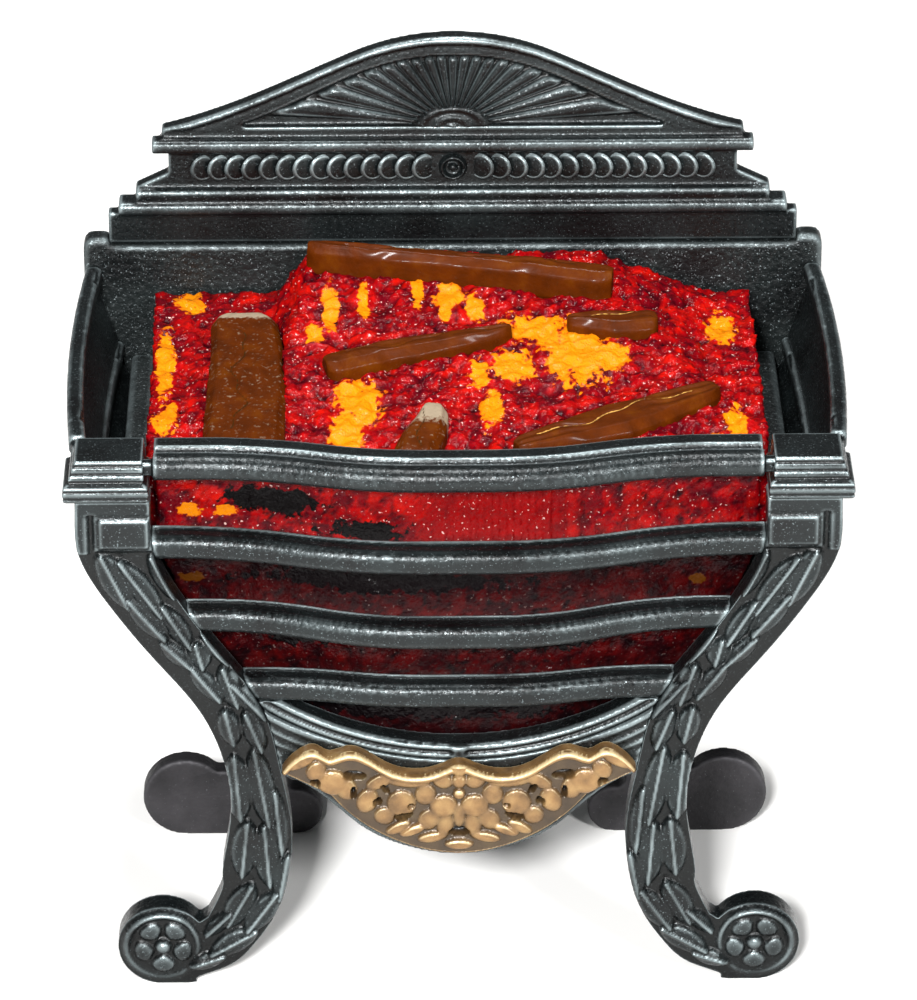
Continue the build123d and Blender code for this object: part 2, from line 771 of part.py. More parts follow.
def log(spec, extra=0.0):
    """A split log, lying half sunk in the bed."""
    start, end, width, thickness, sink = spec
    points = []
    for share_x, share_y in (start, end):
        x = share_x * fire_half_width()
        y = fire_front_y + share_y * (fire_rear_y - fire_front_y)
        points.append(Vector(x, y, fire_top_z(x, y) - sink + thickness / 2))
    along = points[1] - points[0]
    across = Vector(0, 0, 1).cross(along)
    place = Plane(
        origin=(points[0] + points[1]) / 2,
        x_dir=along,
        z_dir=along.cross(across),
    )
    stick = Box(along.length + 2 * extra, width + 2 * extra, thickness + 2 * extra)
    stick = chamfer(stick.edges().filter_by(Axis.X), log_round)
    return place * stick


# ---- Assembly ----
def build_nodes():
    """Every piece, cut to fit its neighbours, keyed by its name."""
    nodes = {}

    legs = both_sides(leg_blank())
    caps = both_sides(cap_blank() + cap_peg())
    both_legs = legs["left"] + legs["right"]
    both_caps = caps["left"] + caps["right"]

    for number, (z, bulge) in enumerate(zip(bar_zs, bar_bulges), start=1):
        if number == 1:
            reach = cap_inner + tenon_length / 2
            bar = swept_bar(top_bar_section(), cap_inner - top_bar_gap, bulge, z)
        else:
            reach = leg_middle_x(z + bar_height / 2)
            bar = swept_bar(bar_section(), reach, bulge, z) - both_legs
            bar = bar.solids().sort_by(SortBy.VOLUME)[-1]
        tenons = bar_tenons(reach, z)
        sockets = bar_tenons(reach, z, fit_clearance)
        nodes[f"front_bar_{number}"] = bar + tenons["left"] + tenons["right"]
        for side in ("left", "right"):
            legs[side] = legs[side] - sockets[side]
            caps[side] = caps[side] - sockets[side]

    for level in range(side_rail_count - 1):
        for side, panel in both_sides(side_panel(level)).items():
            nodes[f"{side}_side_panel_{level + 1}"] = panel - both_caps

    peg_sockets = both_sides(cap_peg(fit_clearance))
    fireback = fireback_blank()
    for level in range(side_rail_count):
        front_pin, rear_pin = rail_spigots(level)
        front_hole, rear_hole = rail_spigots(level, fit_clearance)
        rails = both_sides(side_rail(level) + front_pin + rear_pin)
        front_holes = both_sides(front_hole)
        rear_holes = both_sides(rear_hole)
        for side in ("left", "right"):
            nodes[f"{side}_side_rail_{level + 1}"] = rails[side]
            legs[side] = legs[side] - front_holes[side]
            caps[side] = caps[side] - front_holes[side]
            fireback = fireback - rear_holes[side]

    for side in ("left", "right"):
        nodes[f"{side}_front_leg"] = legs[side] - peg_sockets[side]
        nodes[f"{side}_post_cap"] = caps[side]

    nodes["lower_rail"] = lower_rail_blank() - both_legs
    nodes["apron_plate"] = apron_blank() - both_legs
    nodes["apron_ornament"] = ornament()

    dowels = crest_dowels()
    dowel_holes = crest_dowels(fit_clearance)
    nodes["crest"] = crest_blank() + dowels["left"] + dowels["right"]
    nodes["fireback_panel"] = fireback - dowel_holes["left"] - dowel_holes["right"]

    nodes["pan_floor"] = pan_floor()
    for side, wall in both_sides(pan_side()).items():
        nodes[f"{side}_pan_wall"] = wall
    for side, foot in both_sides(rear_foot()).items():
        nodes[f"{side}_rear_foot"] = foot

    bed = bed_blank()
    for name, spec in logs.items():
        bed = bed - log(spec, seat_clearance)
        nodes[name] = log(spec)
    nodes["ember_bed"] = bed
    return nodes


os.makedirs("parts", exist_ok=True)
for node_name, shape in build_nodes().items():
    export_step(shape, f"parts/{node_name}.step")
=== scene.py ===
import math

import bpy
import numpy as np
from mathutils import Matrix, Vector, noise
from mathutils.kdtree import KDTree


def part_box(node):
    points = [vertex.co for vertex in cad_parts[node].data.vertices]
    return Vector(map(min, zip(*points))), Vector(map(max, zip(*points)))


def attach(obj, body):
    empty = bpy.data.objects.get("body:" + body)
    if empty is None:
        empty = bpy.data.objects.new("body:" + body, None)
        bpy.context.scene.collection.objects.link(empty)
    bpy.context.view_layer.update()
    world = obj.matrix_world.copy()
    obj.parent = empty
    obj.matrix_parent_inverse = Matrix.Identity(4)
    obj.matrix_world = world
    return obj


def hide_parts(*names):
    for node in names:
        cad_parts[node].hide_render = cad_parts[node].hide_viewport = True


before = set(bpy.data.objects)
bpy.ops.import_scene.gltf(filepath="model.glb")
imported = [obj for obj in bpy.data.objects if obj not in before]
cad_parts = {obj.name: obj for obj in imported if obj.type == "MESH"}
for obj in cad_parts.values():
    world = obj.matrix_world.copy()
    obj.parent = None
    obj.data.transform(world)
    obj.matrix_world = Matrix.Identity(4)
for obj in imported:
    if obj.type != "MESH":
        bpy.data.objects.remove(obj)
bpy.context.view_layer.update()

# ---- Front legs ----
# Two flat cabriole legs cast in white metal, with lapping leaves in relief down the sweep,
# a square block under the cap and a rosette on the scroll foot. They are sprayed with
# black stove paint, with painted shade in the hollows and a painted grey highlight on the
# edges that face up or forward.
MM = 0.001


def linear(code):
    """A colour written #rrggbb, as the linear values that a shader takes."""
    values = []
    for start in (1, 3, 5):
        share = int(code[start : start + 2], 16) / 255
        values.append(share / 12.92 if share <= 0.04045 else ((share + 0.055) / 1.055) ** 2.4)
    return (*values, 1.0)


def add_node(material, kind, values=None, links=None, ramp=None, **settings):
    """One shader node, with its settings, its sockets' values and what is plugged into it."""
    node = material.node_tree.nodes.new(kind)
    for name, value in settings.items():
        setattr(node, name, value)
    for socket, value in (values or {}).items():
        node.inputs[socket].default_value = value
    for socket, source in (links or {}).items():
        material.node_tree.links.new(source, node.inputs[socket])
    if ramp:
        stops = node.color_ramp.elements
        for spare in list(stops)[len(ramp) :]:
            stops.remove(spare)
        for number, (place, colour) in enumerate(ramp):
            stop = stops[number] if number < len(stops) else stops.new(place)
            stop.position = place
            stop.color = colour
    return node


# Sockets of Blender's Mix node when it mixes colours.
MIX_FACTOR, MIX_A, MIX_B, MIX_RESULT = 0, 6, 7, 2
WHITE, BLACK = (1, 1, 1, 1), (0, 0, 0, 1)


def new_material(name, values):
    """An empty material and its shader, with the shader's own values set."""
    material = bpy.data.materials.new(name)
    material.use_nodes = True
    shader = material.node_tree.nodes["Principled BSDF"]
    for socket, value in values.items():
        shader.inputs[socket].default_value = value
    return material, shader


def lay_coats(material, painted, coats):
    """Paints each colour over the ones before it, as thick as its share says."""
    for share, colour in coats:
        painted = add_node(
            material,
            "ShaderNodeMix",
            {MIX_B: linear(colour)},
            {MIX_FACTOR: share, MIX_A: painted},
            data_type="RGBA",
        ).outputs[MIX_RESULT]
    return painted


def finish_paint(material, shader, painted, grain, depth_mm, strength=1.0):
    """Gives the shader its colour and a surface that stands up with the grain."""
    bump = add_node(
        material, "ShaderNodeBump", {"Strength": strength, "Distance": depth_mm * MM}, {"Height": grain}
    )
    material.node_tree.links.new(painted, shader.inputs["Base Color"])
    material.node_tree.links.new(bump.outputs["Normal"], shader.inputs["Normal"])
    return bump.outputs["Normal"]


# sizes of the stove paint's cloudy patches and of its flecks, drawn as coarse as they need to show
patch_mm = 3.5
fleck_mm = 0.11


def stove_black(name, dark, light, glint, highlight_grey, flakes, roughness, grit_mm, grit_depth_mm):
    """Stove paint on a rough casting: near black and slightly metallic, so that its grain glints.
    It carries a painted grey highlight along edges that face up or forward, and painted shade in its
    hollows."""
    material, shader = new_material(name, {"Metallic": 0.55})
    place = add_node(material, "ShaderNodeTexCoord").outputs["Object"]
    patches, grit, flecks = [
        add_node(
            material, "ShaderNodeTexNoise", {"Scale": 1 / (size * MM), "Detail": detail}, {"Vector": place}
        ).outputs["Fac"]
        for size, detail in ((patch_mm, 5.0), (grit_mm, 3.0), (fleck_mm, 1.0))
    ]
    painted_highlight, painted_recess_shade = [
        add_node(material, "ShaderNodeAttribute", attribute_name=share).outputs["Fac"]
        for share in ("painted_highlight", "painted_recess_shade")
    ]
    spread = add_node(
        material,
        "ShaderNodeValToRGB",
        links={"Fac": patches},
        ramp=[(0.35, linear(dark)), (0.68, linear(light))],
    )
    bright = add_node(
        material,
        "ShaderNodeValToRGB",
        links={"Fac": flecks},
        ramp=[(1 - flakes, BLACK), (1 - flakes + 0.09, WHITE)],
    )
    patchy = add_node(
        material,
        "ShaderNodeMapRange",
        {"From Min": 0.3, "From Max": 0.65, "To Min": 0.25, "To Max": 1.0},
        {"Value": patches},
    )
    highlight_share = add_node(
        material, "ShaderNodeMath", links={0: painted_highlight, 1: patchy.outputs["Result"]}, operation="MULTIPLY"
    )
    # a patchy painted highlight along the upper edges, and painted shade in the hollows
    painted = lay_coats(
        material,
        spread.outputs["Color"],
        [(bright.outputs["Color"], glint), (highlight_share.outputs[0], highlight_grey), (painted_recess_shade, "#030404")],
    )
    gloss = add_node(
        material,
        "ShaderNodeMapRange",
        {"From Min": 0.3, "From Max": 0.7, "To Min": roughness - 0.09, "To Max": roughness + 0.12},
        {"Value": grit},
    )
    material.node_tree.links.new(gloss.outputs["Result"], shader.inputs["Roughness"])
    finish_paint(material, shader, painted, grit, grit_depth_mm, 0.9)
    return material


# Black stove paint, sprayed on cast white metal: a satin blue-grey black with a fine glint.
casting_black = stove_black(
    "black_stove_paint_on_cast_metal",
    dark="#0a0c0d",
    light="#1a2021",
    glint="#565f61",
    highlight_grey="#8b9799",
    flakes=0.35,
    roughness=0.34,
    grit_mm=0.26,
    grit_depth_mm=0.05,
)

# how sharply an edge must bend, per millimetre, for its painted highlight to begin and to reach full
# strength
highlight_bend = (0.3, 0.95)
highlight_rounds = 2          # times that the painted highlight is spread over a point's neighbours
highlight_spread = 0.6        # the neighbours' share each time


def set_points(mesh, points):
    """Gives a mesh its points, worked out in millimetres."""
    mesh.vertices.foreach_set("co", np.ascontiguousarray(points * MM, np.float32).ravel())
    mesh.polygons.foreach_set("use_smooth", np.ones(len(mesh.polygons), bool))
    mesh.update()


def set_shares(mesh, name, values):
    """A share from 0 to 1 at each point, for a material to read."""
    layer = mesh.attributes.new(name, "FLOAT", "POINT")
    layer.data.foreach_set("value", np.clip(values, 0, 1).astype(np.float32))


def mesh_rows(items, field):
    """One row of three numbers for each of a mesh's points."""
    rows = np.empty(len(items) * 3)
    items.foreach_get(field, rows)
    return rows.reshape(-1, 3)


def painted_edge_highlight(mesh, points):
    """How far each point stands on an outward edge that faces up or forward, where a painted highlight
    lies:
    from how much lower its neighbours lie, smoothed over them."""
    ends = np.empty(len(mesh.edges) * 2, int)
    mesh.edges.foreach_get("vertices", ends)
    one, other = ends.reshape(-1, 2).T
    normals = mesh_rows(mesh.vertices, "normal")
    count = len(points)
    steps = points[other] - points[one]
    spans = (steps**2).sum(1)
    drop = np.bincount(one, -(steps * normals[one]).sum(1), count)
    drop += np.bincount(other, (steps * normals[other]).sum(1), count)
    reach = np.bincount(one, spans, count) + np.bincount(other, spans, count)
    bend = drop / reach
    neighbours = np.bincount(one, minlength=count) + np.bincount(other, minlength=count)
    for _ in range(highlight_rounds):
        around = np.bincount(one, bend[other], count) + np.bincount(other, bend[one], count)
        bend = (1 - highlight_spread) * bend + highlight_spread * around / neighbours
    sharp = np.clip((bend - highlight_bend[0]) / (highlight_bend[1] - highlight_bend[0]), 0, 1)
    # painted highlight: only edges that face up or forward get it
    return sharp * np.clip(0.25 + normals[:, 2] - 0.35 * normals[:, 1], 0, 1)


def add_object(name, data):
    """A new object in the scene, made from a mesh, a light or a camera."""
    made = bpy.data.objects.new(name, data)
    bpy.context.scene.collection.objects.link(made)
    return made


weld_mm = 0.001
smoothing = 0.5


def cast_copy(name, node, cell_mm, relief=None, softening=1):
    """A CAD node meshed afresh as one skin, so that its edges are rounded as a casting's are.
    relief(points, normals) gives each point's new place and a dictionary of shares for the material."""
    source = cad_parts[node].data
    rough = bpy.data.meshes.new(name + "_rough")
    corners = [corner.co / MM for corner in source.vertices]
    rough.from_pydata(corners, [], [list(face.vertices) for face in source.polygons])
    piece = add_object(name, rough)
    weld = piece.modifiers.new("weld", "WELD")
    weld.merge_threshold = weld_mm
    skin = piece.modifiers.new("skin", "REMESH")
    skin.mode = "VOXEL"
    skin.voxel_size = cell_mm
    soft = piece.modifiers.new("soft_edges", "SMOOTH")
    soft.factor = smoothing
    soft.iterations = softening
    made = bpy.data.meshes.new_from_object(piece.evaluated_get(bpy.context.evaluated_depsgraph_get()))
    piece.modifiers.clear()
    piece.data = made
    made.name = name
    bpy.data.meshes.remove(rough)
    places = mesh_rows(made.vertices, "co")
    shares = {}
    if relief:
        places, shares = relief(places, mesh_rows(made.vertices, "normal"))
    set_points(made, places)
    # every cast piece gets a painted highlight along its upper edges
    shares["painted_highlight"] = painted_edge_highlight(made, places)
    for share_name, values in shares.items():
        set_shares(made, share_name, values)
    return piece


def fit(piece, body, material, slot, *nodes):
    """Gives a piece its finish and its place on a body, and hides the CAD nodes it stands for."""
    piece.data.materials.clear()
    piece.data.materials.append(material)
    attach(piece, body)
    if nodes:
        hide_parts(*nodes)
    return piece


def facing_front(normals):
    """1 on a front face, falling to 0 round its edge."""
    return np.clip((-normals[:, 1] - 0.45) / 0.4, 0, 1)


def leaf(across, height, centre, length, width, lean):
    """A pointed leaf with a raised midrib: 1 along its crest and 0 outside.
    lean is its top's tilt outwards, in degrees."""
    turn = math.radians(lean)
    aside = (across - centre[0]) * math.cos(turn) - (height - centre[1]) * math.sin(turn)
    along = (across - centre[0]) * math.sin(turn) + (height - centre[1]) * math.cos(turn)
    taper = np.clip(1 - (2 * along / length) ** 2, 0, 1)
    half = width / 2 * taper**0.65 + 1e-6
    swell = np.sqrt(np.clip(1 - (aside / half) ** 2, 0, 1))
    midrib = np.exp(-((aside / 0.13) ** 2))
    return swell * (0.72 + 0.28 * midrib)


leg_skin_mm = 0.095
leg_relief_mm = 0.55
leg_ground_mm = 0.1      # how far the ground between the leaves is sunk
# centre across and up, length, width, lean of each leaf on the right-hand leg
leg_leaves = [
    (19.7, 27.5, 4.2, 1.3, 24),
    (18.2, 26.9, 4.6, 1.2, 33),
    (16.9, 27.7, 3.4, 0.9, 26),
    (17.9, 24.9, 3.6, 1.1, 38),
    (16.2, 24.4, 3.4, 1.0, 30),
    (16.3, 22.6, 2.6, 0.9, 44),
    (14.95, 22.5, 1.9, 1.15, 14),
    (13.9, 23.0, 3.2, 0.8, 34),
    (14.6, 20.6, 3.0, 1.0, 36),
    (13.2, 20.4, 3.0, 1.1, 18),
    (12.1, 19.4, 3.6, 1.0, 40),
    (13.3, 17.7, 2.6, 1.1, 12),
    (11.9, 17.4, 3.0, 1.0, 20),
    (12.9, 13.6, 4.6, 1.35, 4),
    (11.5, 13.6, 5.6, 1.25, 9),
    (10.55, 11.2, 4.6, 0.9, 5),
    (12.55, 9.4, 4.0, 1.3, -6),
    (11.25, 8.9, 4.4, 1.3, 4),
    (10.3, 7.4, 3.4, 1.0, -10),
    (12.9, 5.5, 3.4, 1.3, -28),
    (11.6, 5.0, 3.4, 1.2, -34),
    (13.3, 2.9, 3.4, 1.2, -58),
    (14.2, 4.2, 2.4, 0.8, -44),
    (14.9, 1.6, 2.4, 0.9, -70),
]
leaf_breadth = 1.3
block_centre = (19.05, 30.55)
block_half = (1.45, 0.95)
block_edge_mm = 0.18
channel_gap_mm, channel_half_mm = 0.42, 0.2
post_z, cap_z = 29.2, 31.75      # the block's panel starts and ends
scroll_radius = 2.65
scroll_centre = (17.5, scroll_radius)
rosette_petals = 5
petal_reach, petal_half = 1.2, 0.62
rim_reach, rim_half = 2.2, 0.26
boss_reach = 0.52


def leg_relief(points, normals):
    """Leaves, block and rosette on the front of a leg."""
    across = np.abs(points[:, 0])
    height = points[:, 2]
    front = facing_front(normals)
    raised = np.zeros(len(points))
    for x, z, length, width, lean in leg_leaves:
        raised = np.maximum(raised, leaf(across, height, (x, z), length, leaf_breadth * width, lean))
    block_gap = np.maximum(
        np.abs(across - block_centre[0]) - block_half[0], np.abs(height - block_centre[1]) - block_half[1]
    )
    block = np.clip(0.5 - block_gap / block_edge_mm, 0, 1)
    channel = np.exp(-(((block_gap - channel_gap_mm) / channel_half_mm) ** 2))
    raised = np.where(height > post_z, np.maximum(0.8 * block, 0.5 * (1 - channel)), raised)
    raised = np.where(height > cap_z, 0.5, raised)
    out_x, out_z = across - scroll_centre[0], height - scroll_centre[1]
    reach = np.hypot(out_x, out_z)
    angle = np.arctan2(out_x, out_z)
    on_scroll = reach < scroll_radius + 0.05
    rim = np.exp(-(((reach - rim_reach) / rim_half) ** 2)) * (0.55 + 0.45 * out_z / scroll_radius)
    boss = np.sqrt(np.clip(1 - (reach / boss_reach) ** 2, 0, 1))
    petal_turn = np.abs((angle / (2 * math.pi / rosette_petals)) % 1 - 0.5) * 2
    petal = 1 - (petal_turn / 0.9) ** 2 - ((reach - petal_reach) / petal_half) ** 2
    petal = np.sqrt(np.clip(petal, 0, 1))
    rosette = np.maximum.reduce([rim, boss, 0.6 * petal])
    neck = np.clip((16.4 - across) / 0.8, 0, 1) * np.clip((reach - 1.9) / 0.4, 0, 1)
    raised = np.where(on_scroll, rosette * (1 - neck) + raised * neck, raised)
    # painted shade: the sunk ground between the leaves is darkened
    painted_recess_shade = np.clip(1 - raised * 2.6, 0, 1) * front * 0.8
    places = points.copy()
    places[:, 1] -= (raised * leg_relief_mm - leg_ground_mm) * front
    return places, {"painted_recess_shade": painted_recess_shade}


for side in ("left", "right"):
    node = side + "_front_leg"
    leg = cast_copy(side + "_leaf_carved_leg", node, leg_skin_mm, leg_relief)
    fit(leg, "grate", casting_black, "black_casting", node)

# ---- Post caps ----
# A moulded block cast on the top of each post, with a rounded lip and thin stepped
# lines up its shoulder. Black stove paint, a little flatter on the level top.
cap_skin_mm = 0.08
cap_shoulder_mm = 2.45       # from the top down to the lip
cap_step_mm = 0.46
cap_step_depth_mm = 0.09


def cap_relief(points, normals):
    """Thin steps round the shoulder above the lip."""
    low = points[:, 2].max() - cap_shoulder_mm
    sides = np.clip((0.9 - normals[:, 2]) / 0.3, 0, 1) * (points[:, 2] > low)
    phase = ((points[:, 2] - low - 0.12) / cap_step_mm) % 1
    groove = np.exp(-(((phase - 0.5) / 0.17) ** 2))
    places = points - normals * (groove * sides * cap_step_depth_mm)[:, None]
    # painted shade in the grooves of the steps
    return places, {"painted_recess_shade": groove * sides * 0.75}


for side in ("left", "right"):
    node = side + "_post_cap"
    cap = cast_copy(side + "_moulded_cap", node, cap_skin_mm, cap_relief)
    fit(cap, "grate", casting_black, "black_casting", node)

# ---- Front bars ----
# Four bowed bars, cast with rounded edges and let into the caps and legs at their ends.
# A painted grey highlight lies along their upper front edges.
bar_skin_mm = 0.095
for number in range(1, 5):
    node = f"front_bar_{number}"
    bar = cast_copy(f"bowed_bar_{number}", node, bar_skin_mm)
    fit(bar, "grate", casting_black, "black_casting", node)

# ---- Lower rail and apron ----
# A curved rail with two beads along it closes the basket below, and a thin plate hangs
# from it between the legs. Leaf-like ribs fill the corners where the rail meets the legs.
rail_skin_mm, apron_skin_mm = 0.09, 0.11
rail_radius = 19.7
rail_half_mm = 0.5
rail_centre_z = (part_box("lower_rail")[0] / MM).z + rail_radius + rail_half_mm
groove_half_mm, groove_depth_mm = 0.13, 0.22
tie_half_mm, tie_depth_mm = 0.45, 0.12
rib_pitch_mm, rib_depth_mm, rib_start_mm = 0.62, 0.14, 0.75
# the ribs start this far from the middle and above the floor, and grow over so many millimetres
corner_across, corner_up = (7.4, 2.5), (15.4, 1.0)


def rail_relief(points, normals):
    """A groove between two beads, and a small tie at the middle."""
    front = facing_front(normals)
    reach = np.hypot(points[:, 0], points[:, 2] - rail_centre_z) - rail_radius
    groove = np.exp(-((reach / groove_half_mm) ** 2))
    tie = np.exp(-((points[:, 0] / tie_half_mm) ** 4))
    places = points.copy()
    places[:, 1] += (groove_depth_mm * groove * (1 - tie) - tie_depth_mm * tie) * front
    # painted shade in the groove between the beads
    return places, {"painted_recess_shade": groove * (1 - tie) * front * 0.8}


def apron_relief(points, normals):
    """Ribs that follow the rail in each corner, dying out towards the middle."""
    front = facing_front(normals)
    reach = np.hypot(points[:, 0], points[:, 2] - rail_centre_z) - rail_radius
    corner = np.clip((np.abs(points[:, 0]) - corner_across[0]) / corner_across[1], 0, 1)
    corner *= np.clip((points[:, 2] - corner_up[0]) / corner_up[1], 0, 1)
    ribs = 0.5 + 0.5 * np.cos((reach - rib_start_mm) / rib_pitch_mm * 2 * math.pi)
    places = points.copy()
    places[:, 1] -= rib_depth_mm * ribs * corner * front
    # painted shade in the hollows between the ribs
    return places, {"painted_recess_shade": (1 - ribs) * corner * front * 0.8}


rail = cast_copy("beaded_lower_rail", "lower_rail", rail_skin_mm, rail_relief)
fit(rail, "grate", casting_black, "black_casting", "lower_rail")
apron = cast_copy("ribbed_apron", "apron_plate", apron_skin_mm, apron_relief)
fit(apron, "grate", casting_black, "black_casting", "apron_plate")

# ---- Apron ornament ----
# A pierced swag of scrolls round a many-petalled flower, cast thin and laid on the apron.
# It is brushed with pale gold paint, thick enough to soften the relief, which leaves the
# piercings dark. A painted cream highlight runs along the tops of the scrolls, and painted
# shade lies in the creases between them.
ornament_skin_mm = 0.065
ornament_relief_mm = 0.5
ornament_ground_mm = 0.2     # how far the ground between the scrolls is sunk
piercing_mm = 0.62           # how far the piercings are sunk
top_bead_mm = 0.3            # radius of the bead along the upper edge
outline_step_mm = 0.12
# centre across and up, half width, half height, lean and height share of each lobe
ornament_lobes = [
    (0.0, 13.5, 0.36, 0.36, 0, 0.85),
    (0.0, 15.3, 0.55, 0.60, 0, 1.00),
    (0.95, 14.35, 0.60, 0.50, 20, 0.70),
    (0.90, 12.65, 0.82, 0.78, -10, 0.80),
    (0.0, 14.35, 0.42, 0.50, 0, 0.75),
    (1.95, 13.45, 0.62, 0.72, 10, 0.70),
    (1.75, 11.75, 0.62, 0.75, 30, 0.65),
    (0.80, 11.35, 0.48, 0.80, 10, 0.65),
    (0.0, 12.0, 0.36, 0.80, 0, 0.60),
    (0.0, 10.05, 0.85, 0.36, 0, 0.80),
    (1.55, 10.55, 0.90, 0.36, -12, 0.75),
    (2.70, 11.05, 0.85, 0.34, -24, 0.85),
    (3.35, 12.85, 0.85, 0.90, 0, 0.75),
    (3.55, 11.20, 0.80, 0.36, -28, 0.70),
    (4.35, 12.00, 0.60, 0.60, 30, 0.65),
    (2.95, 14.35, 1.30, 0.42, 4, 0.70),
    (4.60, 14.35, 0.90, 0.46, -30, 0.70),
    (5.35, 13.05, 0.62, 0.85, 20, 0.75),
    (6.55, 13.85, 0.62, 0.75, -10, 0.70),
    (7.35, 14.30, 0.90, 0.85, 0, 0.90),
    (8.30, 15.10, 0.55, 0.70, 30, 0.75),
    (9.20, 15.75, 1.05, 0.42, -28, 0.90),
]
# centre across and up, half width, half height and lean of each piercing
ornament_holes = [
    (0.0, 10.85, 0.58, 0.30, 0),
    (3.25, 11.95, 0.52, 0.24, -16),
    (4.75, 12.95, 0.24, 0.26, 0),
    (4.30, 13.80, 0.36, 0.17, 62),
    (2.80, 12.70, 0.17, 0.17, 0),
    (6.05, 14.72, 0.62, 0.26, 8),
    (6.15, 13.60, 0.15, 0.42, 0),
    (8.35, 14.25, 0.26, 0.30, 20),
]


def oval(across, height, x, z, half_width, half_height, lean):
    """Distance from an oval's centre, as a share of the way to its edge."""
    turn = math.radians(lean)
    along = (across - x) * math.cos(turn) + (height - z) * math.sin(turn)
    aside = -(across - x) * math.sin(turn) + (height - z) * math.cos(turn)
    return np.hypot(along / half_width, aside / half_height)


def upper_edge(points, step):
    """The upper outline of a flat piece: its height at each point's distance from the middle."""
    across = points[:, 0]
    columns = np.arange(across.min(), across.max() + step, step)
    number = np.clip(((across - columns[0]) / step).astype(int), 0, len(columns) - 1)
    upper = np.full(len(columns), -np.inf)
    np.maximum.at(upper, number, points[:, 2])
    full = np.isfinite(upper)
    return np.interp(across, (columns + step / 2)[full], upper[full])


def ornament_relief(points, normals):
    """Scrolls, flower and piercings on the front of the ornament."""
    front = facing_front(normals)
    across = np.abs(points[:, 0])
    height = points[:, 2]
    upper = upper_edge(points, outline_step_mm)
    raised = np.zeros(len(points)) + 0.15
    for x, z, half_width, half_height, lean, share in ornament_lobes:
        out = oval(across, height, x, z, half_width, half_height, lean)
        lobe = np.sqrt(np.clip(1 - out**2, 0, 1))
        raised = np.maximum(raised, share * (0.35 + 0.65 * lobe) * (out < 1))
    top_bead = np.sqrt(np.clip(1 - ((upper - height - top_bead_mm) / top_bead_mm) ** 2, 0, 1))
    raised = np.maximum(raised, 0.95 * top_bead)
    depth = np.zeros(len(points))
    for x, z, half_width, half_height, lean in ornament_holes:
        out = oval(across, height, x, z, half_width, half_height, lean)
        depth = np.maximum(depth, np.clip((1.12 - out) / 0.24, 0, 1))
    places = points.copy()
    lift = raised * ornament_relief_mm * (1 - depth) - piercing_mm * depth - ornament_ground_mm
    places[:, 1] -= lift * front
    # painted shade in the low ground between the lobes
    crease = np.clip(0.72 - raised, 0, 1) * 1.5
    return places, {"painted_recess_shade": crease * front * (1 - depth), "pierced": depth * front}


def gold_paint():
    """Pale gold paint, brushed on by hand: satin, warm and a little uneven, with a painted cream highlight
    on edges that face up or forward and painted shade in the hollows.
    """
    material, shader = new_material("pale_gold_paint_brushed", {"Metallic": 0.25, "Roughness": 0.38})
    place = add_node(material, "ShaderNodeTexCoord").outputs["Object"]
    cloud, grain = [
        add_node(
            material, "ShaderNodeTexNoise", {"Scale": 1 / (size * MM), "Detail": detail}, {"Vector": place}
        ).outputs["Fac"]
        for size, detail in ((1.1, 4.0), (0.22, 2.0))
    ]
    painted_highlight, painted_recess_shade, pierced = [
        add_node(material, "ShaderNodeAttribute", attribute_name=share).outputs["Fac"]
        for share in ("painted_highlight", "painted_recess_shade", "pierced")
    ]
    tone = add_node(
        material,
        "ShaderNodeValToRGB",
        links={"Fac": cloud},
        ramp=[(0.32, linear("#5a4123")), (0.5, linear("#765833")), (0.7, linear("#8a6d43"))],
    )
    edge = add_node(material, "ShaderNodeMapRange", {"From Min": 0.55, "From Max": 0.95}, {"Value": painted_highlight})
    # painted cream highlight on the edges, painted shade in the hollows
    painted = lay_coats(
        material,
        tone.outputs["Color"],
        [(edge.outputs["Result"], "#b9a47c"), (painted_recess_shade, "#211a11"), (pierced, "#0b0c0c")],
    )
    finish_paint(material, shader, painted, grain, 0.04)
    return material


ornament = cast_copy("gilt_swag", "apron_ornament", ornament_skin_mm, ornament_relief)
fit(ornament, "grate", gold_paint(), "gilt_paint", "apron_ornament")

# ---- Side rails and panels ----
# Plain rounded rails, three to a side, from the caps and legs back to the fireback, with
# a thin sloping panel between one and the next. Only the rails' upper edges catch the light,
# with a painted highlight along them.
side_skin_mm = 0.12
for side in ("left", "right"):
    for number in range(1, 4):
        node = f"{side}_side_rail_{number}"
        side_rail = cast_copy(f"{side}_round_rail_{number}", node, side_skin_mm)
        fit(side_rail, "grate", casting_black, "black_casting", node)
    for number in range(1, 3):
        node = f"{side}_side_panel_{number}"
        panel = cast_copy(f"{side}_sloping_panel_{number}", node, side_skin_mm)
        fit(panel, "grate", casting_black, "black_casting", node)

# ---- Fireback ----
# The upright back plate, left as rough as it came from the mould under a dry coat of
# black, so that it sparkles where the crest is smooth.
liner_skin_mm = 0.2
liner_black = stove_black(
    "black_paint_on_rough_casting",
    dark="#101314",
    light="#232929",
    glint="#7b8587",
    highlight_grey="#7d888a",
    flakes=0.34,
    roughness=0.42,
    grit_mm=0.36,
    grit_depth_mm=0.13,
)
fireback = cast_copy("rough_fireback", "fireback_panel", liner_skin_mm)
fit(fireback, "grate", liner_black, "rough_black_liner", "fireback_panel")

# ---- Crest ----
# The cresting on the fireback: a plain fascia, stepped mouldings, a frieze of lapping
# coins either side of a ring, a cornice, and an ogee pediment with a sunburst fan in it.
# One crisp casting in the same stove black, with a painted highlight along the tops of its mouldings.
crest_skin_mm = 0.115
crest_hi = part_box("crest")[1] / MM
crest_top = crest_hi.z
crest_plate_mm = 1.0
plate_y = crest_hi.y - crest_plate_mm
pediment_mm = 6.0
crest_outline_step_mm = 0.25
# a bead and a line round the pediment: how far below its edge, half width, and how high or deep
bead_below, bead_half, bead_mm = 0.26, 0.22, 0.16
line_below, line_half, line_mm = 0.62, 0.12, 0.07


